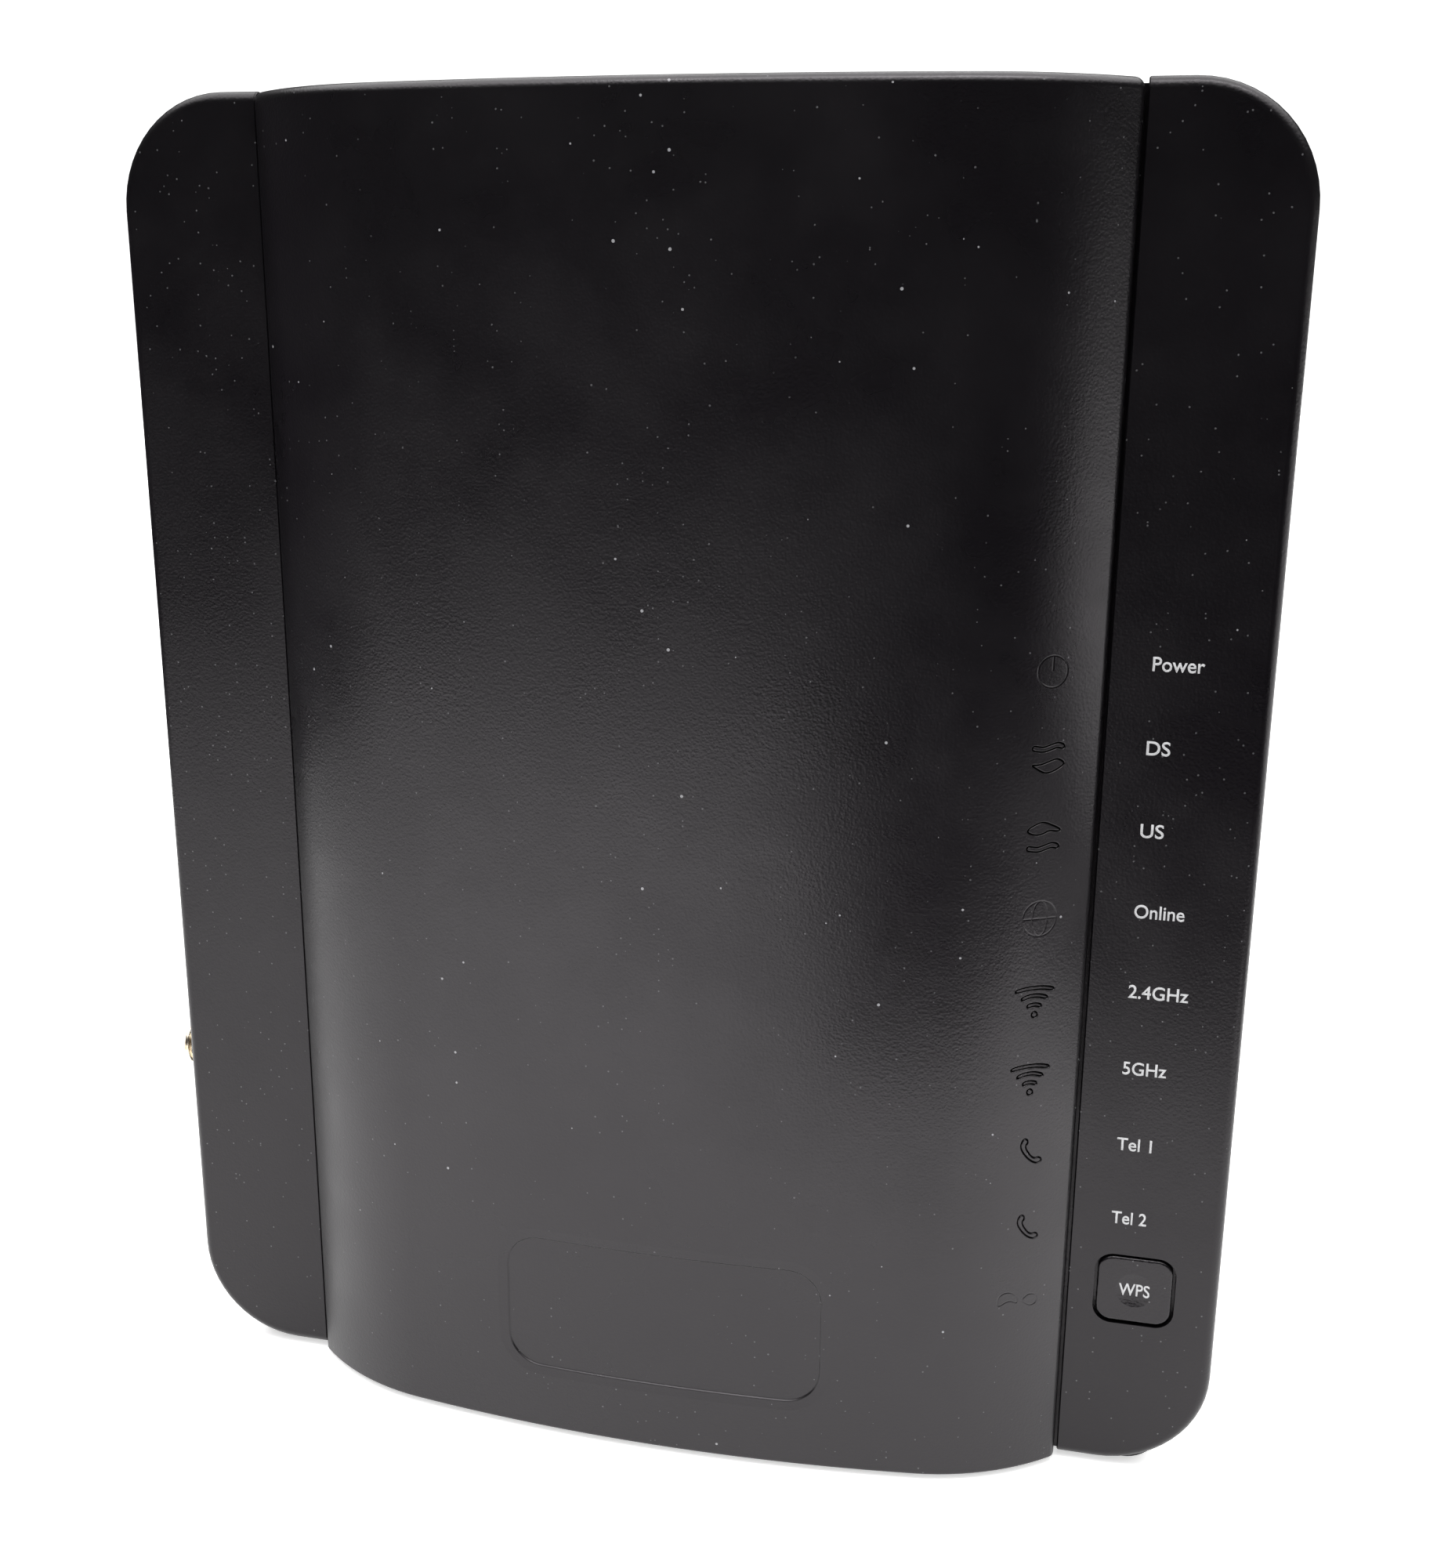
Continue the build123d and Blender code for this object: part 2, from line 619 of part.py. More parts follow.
# Pairing switch: a square tact switch on the indicator board, and its plunger
SWITCH_FACE_Y = LED_BOARD_Y - SWITCH_H
with BuildPart() as pairing_switch_body:
    half = SWITCH_SIZE / 2
    block(
        (BUTTON_X - half, SWITCH_FACE_Y, BUTTON_Z - half),
        (BUTTON_X + half, LED_BOARD_Y, BUTTON_Z + half),
    )
    well_y = SWITCH_FACE_Y + WELL_DEPTH
    rod_y(BUTTON_X, BUTTON_Z, SWITCH_FACE_Y - 1, well_y, PLUNGER_R + 0.1, Mode.SUBTRACT)
pairing_switch_body.part.label = "pairing_switch_body"
export_step(pairing_switch_body.part, "parts/pairing_switch_body.step")

with BuildPart() as pairing_switch_plunger:
    plunger_end = well_y - SWITCH_TRAVEL - PRESS_GAP
    rod_y(BUTTON_X, BUTTON_Z, SWITCH_FACE_Y - PLUNGER_H, plunger_end, PLUNGER_R)
pairing_switch_plunger.part.label = "pairing_switch_plunger"
export_step(pairing_switch_plunger.part, "parts/pairing_switch_plunger.step")

# Reset switch: lies on the main board behind the pinhole and is pressed sideways
with BuildPart() as reset_switch_body:
    half = SWITCH_SIZE / 2
    block(
        (RESET_FACE_X, PORT_Y - half, RESET_Z - half),
        (RESET_FACE_X + RESET_DEPTH, BOARD_Y, RESET_Z + half),
    )
    well_x = RESET_FACE_X + WELL_DEPTH
    rod_x(PORT_Y, RESET_Z, RESET_FACE_X - 1, well_x, PLUNGER_R + 0.1, Mode.SUBTRACT)
reset_switch_body.part.label = "reset_switch_body"
export_step(reset_switch_body.part, "parts/reset_switch_body.step")

with BuildPart() as reset_switch_plunger:
    rod_x(PORT_Y, RESET_Z, RESET_TIP, well_x - SWITCH_TRAVEL - PRESS_GAP, PLUNGER_R)
reset_switch_plunger.part.label = "reset_switch_plunger"
export_step(reset_switch_plunger.part, "parts/reset_switch_plunger.step")

# ---------------------------------------------------------------- indicator board

# Indicator board: a strip behind the windows, widened at the foot to carry the button switch
with BuildPart() as led_board:
    block((61, LED_BOARD_Y, 46), (80, LED_BACK_Y, 164))
    block((61, LED_BOARD_Y, 27), (91.5, LED_BACK_Y, 48))
    for x, z in LED_SCREWS:
        rod_y(x, z, LED_BOARD_Y - 1, LED_BACK_Y + 1, 1.2, Mode.SUBTRACT)
led_board.part.label = "led_board"
export_step(led_board.part, "parts/led_board.step")

# Status LEDs: one for each window
with BuildPart() as status_leds:
    for z in ROWS:
        block(
            (ROW_X - LED_SIZE[0] / 2, LED_BOARD_Y - LED_H, z - LED_SIZE[1] / 2),
            (ROW_X + LED_SIZE[0] / 2, LED_BOARD_Y, z + LED_SIZE[1] / 2),
        )
status_leds.part.label = "status_leds"
export_step(status_leds.part, "parts/status_leds.step")

# Light guides: one clear rod for each LED, joined by a bar behind the backing plate
with BuildPart() as light_guides:
    for z in ROWS:
        rod_y(ROW_X, z, GUIDE_END_Y, LED_BOARD_Y - LED_H - 0.3, GUIDE_R)
    block(
        (ROW_X - GUIDE_BAR[0] / 2, GUIDE_BAR_Y, ROWS[-1]),
        (ROW_X + GUIDE_BAR[0] / 2, GUIDE_BAR_Y + GUIDE_BAR[1], ROWS[0]),
    )
light_guides.part.label = "light_guides"
export_step(light_guides.part, "parts/light_guides.step")

# Screws of the indicator board: pan heads on the board's back
with BuildPart() as led_board_screws:
    for x, z in LED_SCREWS:
        rod_y(x, z, LED_BACK_Y, LED_BACK_Y + 1.4, 2.0)
        rod_y(x, z, LED_BOARD_Y - 5, LED_BACK_Y, LED_PILOT_R - SCREW_GAP)
        rod_y(x, z, LED_BACK_Y + 0.7, LED_BACK_Y + 1.5, 0.7, Mode.SUBTRACT)
led_board_screws.part.label = "led_board_screws"
export_step(led_board_screws.part, "parts/led_board_screws.step")

# ---------------------------------------------------------------- main board and its parts

# Main board, with a hole for each screw
with BuildPart() as main_board:
    block((BOARD_LEFT, BOARD_Y, BOARD_LOW), (BOARD_RIGHT, BOARD_BACK_Y, BOARD_HIGH))
    for x, z in BOARD_SCREWS:
        rod_y(x, z, BOARD_Y - 1, BOARD_BACK_Y + 1, 1.7, Mode.SUBTRACT)
main_board.part.label = "main_board"
export_step(main_board.part, "parts/main_board.step")

# Screws of the main board, driven from the front
with BuildPart() as board_screws:
    for x, z in BOARD_SCREWS:
        rod_y(x, z, BOARD_Y - 2.0, BOARD_Y, 2.8)
        rod_y(x, z, BOARD_Y, BOARD_BACK_Y + 6, PILOT_R - SCREW_GAP)
        rod_y(x, z, BOARD_Y - 2.5, BOARD_Y - 1.0, 0.9, Mode.SUBTRACT)
board_screws.part.label = "board_screws"
export_step(board_screws.part, "parts/board_screws.step")

# Screws that hold the rear cover, sunk in their seats
with BuildPart() as cover_screws:
    for x, z in COVER_SCREWS:
        rod_y(x, z, SEAT_Y, SEAT_Y + 2.2, 2.9)
        rod_y(x, z, COVER_BOSS_Y - 8, SEAT_Y, PILOT_R - SCREW_GAP)
        rod_y(x, z, SEAT_Y + 1.0, SEAT_Y + 2.5, 1.0, Mode.SUBTRACT)
cover_screws.part.label = "cover_screws"
export_step(cover_screws.part, "parts/cover_screws.step")

# Main processor behind the board, with its thermal pad and a finned heatsink
with BuildPart() as main_processor:
    half = CHIP_W / 2
    block(
        (CHIP_X - half, BOARD_BACK_Y, CHIP_Z - half),
        (CHIP_X + half, BOARD_BACK_Y + CHIP_T, CHIP_Z + half),
    )
main_processor.part.label = "main_processor"
export_step(main_processor.part, "parts/main_processor.step")

with BuildPart() as thermal_pad:
    half = PAD_W / 2
    block(
        (CHIP_X - half, BOARD_BACK_Y + CHIP_T, CHIP_Z - half),
        (CHIP_X + half, SINK_Y, CHIP_Z + half),
    )
thermal_pad.part.label = "thermal_pad"
export_step(thermal_pad.part, "parts/thermal_pad.step")

with BuildPart() as heatsink:
    half_x = SINK_SIZE[0] / 2
    half_z = SINK_SIZE[1] / 2
    block(
        (CHIP_X - half_x, SINK_Y, CHIP_Z - half_z),
        (CHIP_X + half_x, SINK_Y + SINK_BASE, CHIP_Z + half_z),
    )
    fin_pitch = (SINK_SIZE[0] - FIN_T) / (FIN_COUNT - 1)
    for index in range(FIN_COUNT):
        x = CHIP_X - half_x + index * fin_pitch
        block(
            (x, SINK_Y + SINK_BASE, CHIP_Z - half_z), (x + FIN_T, SINK_END_Y, CHIP_Z + half_z)
        )
heatsink.part.label = "heatsink"
export_step(heatsink.part, "parts/heatsink.step")


def front_chip(x, z, width, height, thickness):
    """Box-shaped component centred at x and z on the front of the main board."""
    block(
        (x - width / 2, BOARD_Y - thickness, z - height / 2),
        (x + width / 2, BOARD_Y, z + height / 2),
    )


def front_can(x, z, width, height, thickness, wall):
    """Folded shield can, open towards the board."""
    front_chip(x, z, width, height, thickness)
    block(
        (x - width / 2 + wall, BOARD_Y - thickness + wall, z - height / 2 + wall),
        (x + width / 2 - wall, BOARD_Y + 1, z + height / 2 - wall),
        Mode.SUBTRACT,
    )


with BuildPart() as memory_chips:
    for x, z in MEMORY_CHIPS:
        front_chip(x, z, *MEMORY_SIZE)
memory_chips.part.label = "memory_chips"
export_step(memory_chips.part, "parts/memory_chips.step")

with BuildPart() as flash_chip:
    front_chip(*FLASH_PLACE, *FLASH_SIZE)
flash_chip.part.label = "flash_chip"
export_step(flash_chip.part, "parts/flash_chip.step")

with BuildPart() as tuner_shield:
    front_can(*TUNER_PLACE, *TUNER_SIZE, SHIELD_CAN_T)
tuner_shield.part.label = "tuner_shield"
export_step(tuner_shield.part, "parts/tuner_shield.step")

with BuildPart() as wireless_shields:
    for x, z in WIRELESS_PLACES:
        front_can(x, z, *WIRELESS_SIZE, SHIELD_CAN_T)
wireless_shields.part.label = "wireless_shields"
export_step(wireless_shields.part, "parts/wireless_shields.step")

with BuildPart() as ethernet_magnetics:
    for x, z in MAGNETICS_PLACES:
        front_chip(x, z, *MAGNETICS_SIZE)
ethernet_magnetics.part.label = "ethernet_magnetics"
export_step(ethernet_magnetics.part, "parts/ethernet_magnetics.step")

with BuildPart() as line_chips:
    for x, z in LINE_CHIPS:
        front_chip(x, z, *LINE_CHIP_SIZE)
line_chips.part.label = "line_chips"
export_step(line_chips.part, "parts/line_chips.step")

with BuildPart() as inductors:
    for x, z in INDUCTORS:
        front_chip(x, z, *INDUCTOR_SIZE)
    fillet(inductors.edges().filter_by(Axis.Y), INDUCTOR_R)
inductors.part.label = "inductors"
export_step(inductors.part, "parts/inductors.step")

# Electrolytic capacitors: upright cans with a crimped groove near the foot
with BuildPart() as capacitors:
    for x, z, radius, height in CAPACITORS:
        rod_y(x, z, BOARD_Y - height, BOARD_Y, radius)
        with at(x, BOARD_Y - CRIMP_HEIGHT, z, (90, 0, 0)):
            Torus(radius + 0.1, CRIMP_R, mode=Mode.SUBTRACT)
capacitors.part.label = "capacitors"
export_step(capacitors.part, "parts/capacitors.step")

# ---------------------------------------------------------------- ports

# Coaxial port: a hollow threaded barrel on a square block, soldered to the board. A short
# relief groove parts the free thread from the stretch inside the nut
with BuildPart() as coax_connector_body:
    block(
        (COAX_BLOCK_X, PORT_Y - COAX_BLOCK, COAX_Z - COAX_BLOCK),
        (COAX_BLOCK_X + COAX_BLOCK_LENGTH, BOARD_Y, COAX_Z + COAX_BLOCK),
    )
    rod_x(PORT_Y, COAX_Z, COAX_TIP, RELIEF_X, THREAD_R)
    rod_x(PORT_Y, COAX_Z, RELIEF_X, RELIEF_X + RELIEF_W, RELIEF_R)
    rod_x(PORT_Y, COAX_Z, RELIEF_X + RELIEF_W, COAX_BLOCK_X, THREAD_R)
    chamfer(coax_connector_body.faces().sort_by(Axis.X)[0].edges(), 0.4)
    rod_x(PORT_Y, COAX_Z, COAX_TIP - 1, COAX_BORE_END, COAX_BORE_R, Mode.SUBTRACT)
coax_connector_body.part.label = "coax_connector_body"
export_step(coax_connector_body.part, "parts/coax_connector_body.step")

with BuildPart() as coax_insulator:
    rod_x(PORT_Y, COAX_Z, COAX_TIP + 0.4, COAX_BORE_END, COAX_BORE_R)
    rod_x(PORT_Y, COAX_Z, COAX_TIP, COAX_BORE_END, COAX_HOLE_R, Mode.SUBTRACT)
coax_insulator.part.label = "coax_insulator"
export_step(coax_insulator.part, "parts/coax_insulator.step")

with BuildPart() as coax_contact:
    rod_x(PORT_Y, COAX_Z, COAX_TIP + 2.0, COAX_BORE_END, COAX_HOLE_R)
    rod_x(PORT_Y, COAX_Z, COAX_TIP, COAX_BLOCK_X + 6, 0.55, Mode.SUBTRACT)
coax_contact.part.label = "coax_contact"
export_step(coax_contact.part, "parts/coax_contact.step")

# Washer and hexagon nut that clamp the coaxial port to the cover
with BuildPart() as coax_washer:
    rod_x(PORT_Y, COAX_Z, PORT_SIDE - WASHER_T, PORT_SIDE, WASHER_R)
    rod_x(PORT_Y, COAX_Z, PORT_SIDE - WASHER_T, PORT_SIDE, THREAD_R, Mode.SUBTRACT)
coax_washer.part.label = "coax_washer"
export_step(coax_washer.part, "parts/coax_washer.step")

with BuildPart() as coax_nut:
    with BuildSketch(side(PORT_SIDE - WASHER_T)):
        with Locations((PORT_Y, COAX_Z)):
            RegularPolygon(NUT_ACROSS / 2, 6, major_radius=False)
            Circle(THREAD_R, mode=Mode.SUBTRACT)
    extrude(amount=-NUT_T)
coax_nut.part.label = "coax_nut"
export_step(coax_nut.part, "parts/coax_nut.step")


def jack_sockets(low_z, top_y, pitch, count, width, height, depth):
    """Cuts a row of modular jack sockets: a plug space and a latch keyway in each."""
    for index in range(count):
        z = low_z + pitch * (index + 0.5) + 0.3
        y = top_y + 1.6
        block(
            (PORT_FACE - 1, y, z - width / 2),
            (PORT_FACE + depth, y + height, z + width / 2),
            Mode.SUBTRACT,
        )
        block(
            (PORT_FACE - 1, y + height, z - width * 0.27),
            (PORT_FACE + depth - 3, y + height + 1.7, z + width * 0.27),
            Mode.SUBTRACT,
        )


def jack_contacts(low_z, top_y, pitch, count, pins, depth):
    """Adds the sprung contacts of each socket, slanting back from its roof."""
    for index in range(count):
        middle = low_z + pitch * (index + 0.5) + 0.3
        for pin in range(pins):
            z = middle + (pin - (pins - 1) / 2) * CONTACT_PITCH
            with BuildSketch(plan(z - CONTACT_W / 2)) as bend:
                with BuildLine() as line:
                    Polyline(
                        (PORT_FACE + 3.0, top_y + 1.7),
                        (PORT_FACE + 3.5, top_y + 1.7),
                        (PORT_FACE + depth - 2.0, top_y + 4.6),
                        (PORT_FACE + depth - 2.3, top_y + 5.0),
                        (PORT_FACE + 3.0, top_y + 2.0),
                        close=True,
                    )
                make_face(line.line.edges())
            extrude(bend.sketch, amount=CONTACT_W)


# Ethernet: four sockets in one moulded block, wrapped in a folded shield
with BuildPart() as ethernet_jack_housing:
    block(
        (PORT_FACE, ETHERNET_TOP_Y, ETHERNET_LOW),
        (PORT_FACE + ETHERNET_DEPTH, BOARD_Y, ETHERNET_HIGH),
    )
    jack_sockets(
        ETHERNET_LOW, ETHERNET_TOP_Y, ETHERNET_PITCH, ETHERNET_COUNT, *ETHERNET_SOCKET
    )
ethernet_jack_housing.part.label = "ethernet_jack_housing"
export_step(ethernet_jack_housing.part, "parts/ethernet_jack_housing.step")

with BuildPart() as ethernet_jack_shield:
    block(
        (PORT_FACE, ETHERNET_TOP_Y - SHIELD_T, ETHERNET_LOW - SHIELD_T),
        (PORT_FACE + ETHERNET_DEPTH + SHIELD_T, BOARD_Y, ETHERNET_HIGH + SHIELD_T),
    )
    block(
        (PORT_FACE - 1, ETHERNET_TOP_Y, ETHERNET_LOW),
        (PORT_FACE + ETHERNET_DEPTH, BOARD_Y + 1, ETHERNET_HIGH),
        Mode.SUBTRACT,
    )
ethernet_jack_shield.part.label = "ethernet_jack_shield"
export_step(ethernet_jack_shield.part, "parts/ethernet_jack_shield.step")

with BuildPart() as ethernet_contacts:
    jack_contacts(ETHERNET_LOW, ETHERNET_TOP_Y, ETHERNET_PITCH, ETHERNET_COUNT, 8, 13.0)
ethernet_contacts.part.label = "ethernet_contacts"
export_step(ethernet_contacts.part, "parts/ethernet_contacts.step")

# Telephone: two smaller sockets in one moulded block
with BuildPart() as phone_jack_housing:
    block((PORT_FACE, PHONE_TOP_Y, PHONE_LOW), (PORT_FACE + PHONE_DEPTH, BOARD_Y, PHONE_HIGH))
    jack_sockets(PHONE_LOW, PHONE_TOP_Y, PHONE_PITCH, PHONE_COUNT, *PHONE_SOCKET)
phone_jack_housing.part.label = "phone_jack_housing"
export_step(phone_jack_housing.part, "parts/phone_jack_housing.step")

with BuildPart() as phone_contacts:
    jack_contacts(PHONE_LOW, PHONE_TOP_Y, PHONE_PITCH, PHONE_COUNT, 4, 12.0)
phone_contacts.part.label = "phone_contacts"
export_step(phone_contacts.part, "parts/phone_contacts.step")

# USB socket: a thin metal shell, a plastic tongue with its base, and four flat contacts
with BuildPart() as usb_shell:
    block(
        (PORT_FACE, USB_TOP_Y, USB_Z - USB_W / 2),
        (PORT_FACE + USB_DEPTH, USB_TOP_Y + USB_H, USB_Z + USB_W / 2),
    )
    block(
        (PORT_FACE - 1, USB_TOP_Y + USB_SHELL_T, USB_Z - USB_W / 2 + USB_SHELL_T),
        (
            PORT_FACE + USB_DEPTH + 1,
            USB_TOP_Y + USB_H - USB_SHELL_T,
            USB_Z + USB_W / 2 - USB_SHELL_T,
        ),
        Mode.SUBTRACT,
    )
usb_shell.part.label = "usb_shell"
export_step(usb_shell.part, "parts/usb_shell.step")

with BuildPart() as usb_tongue:
    block(
        (USB_BASE_X, USB_TOP_Y + USB_SHELL_T, USB_Z - USB_W / 2 + USB_SHELL_T),
        (
            PORT_FACE + USB_DEPTH,
            USB_TOP_Y + USB_H - USB_SHELL_T,
            USB_Z + USB_W / 2 - USB_SHELL_T,
        ),
    )
    block(
        (PORT_FACE + 1.5, TONGUE_Y, USB_Z - TONGUE_HALF),
        (USB_BASE_X, TONGUE_Y + TONGUE_T, USB_Z + TONGUE_HALF),
    )
usb_tongue.part.label = "usb_tongue"
export_step(usb_tongue.part, "parts/usb_tongue.step")

with BuildPart() as usb_contacts:
    for offset_z in (-3.5, -1.0, 1.0, 3.5):
        block(
            (PORT_FACE + 2.2, TONGUE_Y + TONGUE_T, USB_Z + offset_z - 0.5),
            (USB_BASE_X, TONGUE_Y + TONGUE_T + 0.3, USB_Z + offset_z + 0.5),
        )
usb_contacts.part.label = "usb_contacts"
export_step(usb_contacts.part, "parts/usb_contacts.step")

# Power jack: a moulded body with a round bore, its centre pin and its side spring
with BuildPart() as power_jack_body:
    block(
        (PORT_FACE, POWER_TOP_Y, POWER_Z - POWER_W / 2),
        (PORT_FACE + POWER_DEPTH, BOARD_Y, POWER_Z + POWER_W / 2),
    )
    bore_end = PORT_FACE + POWER_BORE_DEPTH
    rod_x(POWER_AXIS_Y, POWER_Z, PORT_FACE - 1, bore_end, POWER_BORE_R, Mode.SUBTRACT)
power_jack_body.part.label = "power_jack_body"
export_step(power_jack_body.part, "parts/power_jack_body.step")

with BuildPart() as power_jack_pin:
    rod_x(POWER_AXIS_Y, POWER_Z, PORT_FACE + 1.0, bore_end, POWER_PIN_R)
    fillet(power_jack_pin.faces().sort_by(Axis.X)[0].edges(), 0.6)
power_jack_pin.part.label = "power_jack_pin"
export_step(power_jack_pin.part, "parts/power_jack_pin.step")

with BuildPart() as power_jack_spring:
    spring_y = POWER_AXIS_Y + POWER_BORE_R - 0.4
    block((PORT_FACE + 4.0, spring_y - 0.3, POWER_Z - 0.8), (bore_end, spring_y, POWER_Z + 0.8))
power_jack_spring.part.label = "power_jack_spring"
export_step(power_jack_spring.part, "parts/power_jack_spring.step")

# ---------------------------------------------------------------- wiring and antennas

# Ribbon cable from the indicator board's back to the main board's front, one socket at each end
with BuildPart() as ribbon_connectors:
    low = RIBBON_Z - SOCKET_HALF
    high = RIBBON_Z + SOCKET_HALF
    block((UPPER_X, LED_BACK_Y, low), (UPPER_X + SOCKET_T, LED_BACK_Y + SOCKET_H, high))
    block((LOWER_X - SOCKET_T, BOARD_Y - SOCKET_H, low), (LOWER_X, BOARD_Y, high))
ribbon_connectors.part.label = "ribbon_connectors"
export_step(ribbon_connectors.part, "parts/ribbon_connectors.step")

with BuildPart() as ribbon_cable:
    with BuildSketch(plan(RIBBON_Z - RIBBON_W / 2)):
        with BuildLine():
            FilletPolyline(
                (UPPER_X, UPPER_Y),
                (UPPER_X - RIBBON_LEAD, UPPER_Y),
                (LOWER_X + RIBBON_LEAD, LOWER_Y),
                (LOWER_X, LOWER_Y),
                radius=RIBBON_R,
            )
        trace(line_width=RIBBON_T)
    extrude(amount=RIBBON_W)
ribbon_cable.part.label = "ribbon_cable"
export_step(ribbon_cable.part, "parts/ribbon_cable.step")

# Antenna boards: three thin boards glued inside the rear cover, upright or level
with BuildPart() as antenna_boards:
    for x, z, width, height in ANTENNAS:
        block(
            (x - width / 2, ANTENNA_Y, z - height / 2),
            (x + width / 2, ANTENNA_BACK_Y, z + height / 2),
        )
antenna_boards.part.label = "antenna_boards"
export_step(antenna_boards.part, "parts/antenna_boards.step")

# Antenna leads: thin coaxial wires from each antenna down to the back of the main board
with BuildPart() as antenna_leads:
    for route in LEAD_ROUTES:
        with BuildLine(front(LEAD_Y)) as path:
            FilletPolyline(*route, radius=LEAD_BEND_R)
        with BuildSketch(Plane(path.line @ 0, z_dir=path.line % 0)) as section:
            Circle(LEAD_R)
        sweep(section.sketch, path=path.line)
antenna_leads.part.label = "antenna_leads"
export_step(antenna_leads.part, "parts/antenna_leads.step")
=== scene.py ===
import json
import math

import bmesh
import bpy
import numpy as np
from mathutils import Matrix, Vector
from mathutils.bvhtree import BVHTree


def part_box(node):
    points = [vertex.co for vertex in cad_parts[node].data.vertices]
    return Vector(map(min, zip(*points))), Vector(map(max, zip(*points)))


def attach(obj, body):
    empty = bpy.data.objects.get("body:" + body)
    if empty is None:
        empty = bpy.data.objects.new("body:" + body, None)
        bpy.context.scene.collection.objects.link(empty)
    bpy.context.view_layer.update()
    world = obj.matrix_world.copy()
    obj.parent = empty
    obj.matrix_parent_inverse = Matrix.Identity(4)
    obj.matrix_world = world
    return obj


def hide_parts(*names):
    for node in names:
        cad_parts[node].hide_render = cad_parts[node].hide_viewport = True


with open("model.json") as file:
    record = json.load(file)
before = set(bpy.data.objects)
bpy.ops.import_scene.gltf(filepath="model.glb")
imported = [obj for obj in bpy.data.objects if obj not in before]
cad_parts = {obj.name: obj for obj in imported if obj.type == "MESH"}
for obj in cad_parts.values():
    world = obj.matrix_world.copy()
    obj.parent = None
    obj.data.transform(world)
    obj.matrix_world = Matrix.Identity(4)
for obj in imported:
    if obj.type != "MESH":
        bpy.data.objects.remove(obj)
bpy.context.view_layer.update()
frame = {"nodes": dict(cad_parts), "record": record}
NODES = frame["nodes"]
SCENE = bpy.context.scene
MM = 0.001


def link(obj):
    SCENE.collection.objects.link(obj)
    return obj


# ------------------------------------------------------------------ places, all from the CAD boxes

PANEL_LOW, PANEL_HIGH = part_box("centre_panel")
BUTTON_LOW, BUTTON_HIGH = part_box("pairing_button")
BUTTON_MID = (BUTTON_LOW + BUTTON_HIGH) / 2
CENTRE_X = (PANEL_LOW.x + PANEL_HIGH.x) / 2
WING_Y = BUTTON_LOW.y  # the wings' front face, which the button is level with
FLOOR_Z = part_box("rubber_feet")[0].z

# ------------------------------------------------------------------ materials


def material(name):
    mat = bpy.data.materials.new(name)
    mat.use_nodes = True
    return mat, mat.node_tree.nodes, mat.node_tree.links


def math_node(nodes, links, kind, a, b):
    node = nodes.new("ShaderNodeMath")
    node.operation = kind
    for socket, value in zip(node.inputs, (a, b)):
        if isinstance(value, (int, float)):
            socket.default_value = value
        else:
            links.new(value, socket)
    return node.outputs[0]


def noise(nodes, links, coords, scale, detail=2.0, roughness=0.5):
    node = nodes.new("ShaderNodeTexNoise")
    node.inputs["Scale"].default_value = scale
    node.inputs["Detail"].default_value = detail
    node.inputs["Roughness"].default_value = roughness
    links.new(coords, node.inputs["Vector"])
    return node.outputs["Fac"]


def mix_colour(nodes, links, factor, a, b):
    node = nodes.new("ShaderNodeMix")
    node.data_type = "RGBA"
    if isinstance(factor, (int, float)):
        node.inputs[0].default_value = factor
    else:
        links.new(factor, node.inputs[0])
    for socket, value in ((node.inputs[6], a), (node.inputs[7], b)):
        if isinstance(value, (tuple, list)):
            socket.default_value = (*value, 1.0)
        else:
            links.new(value, socket)
    return node.outputs[2]


def ramp(nodes, links, factor, low, high, to_low=0.0, to_high=1.0):
    node = nodes.new("ShaderNodeMapRange")
    node.interpolation_type = "SMOOTHSTEP"
    links.new(factor, node.inputs["Value"])
    node.inputs["From Min"].default_value = low
    node.inputs["From Max"].default_value = high
    node.inputs["To Min"].default_value = to_low
    node.inputs["To Max"].default_value = to_high
    return node.outputs["Result"]


# Patterns on the plastic, as their density per metre, and the grain's mix of heights
CLOUDS, SMUDGES, CLUMPS = 14.0, 32.0, 22.0
PITS, FINE_GRAIN, BROAD_GRAIN = 2100.0, 3600.0, 1300.0
PIT_SHARE, FINE_SHARE, BROAD_SHARE = 1.1, 0.45, 0.8
ROUGH_SPREAD = 0.05
TINT = (1.0, 0.95, 0.99, 1.0)
# Painted shade for the bottoms of the icon grooves
GROOVE_PAINTED_SHADE = (0.0006, 0.0006, 0.0006)
# Dust on the plastic: density, share of the cells, radius in cells, brightness
DUST = ((1150.0, 0.16, 0.10, 0.085), (430.0, 0.16, 0.06, 0.30))


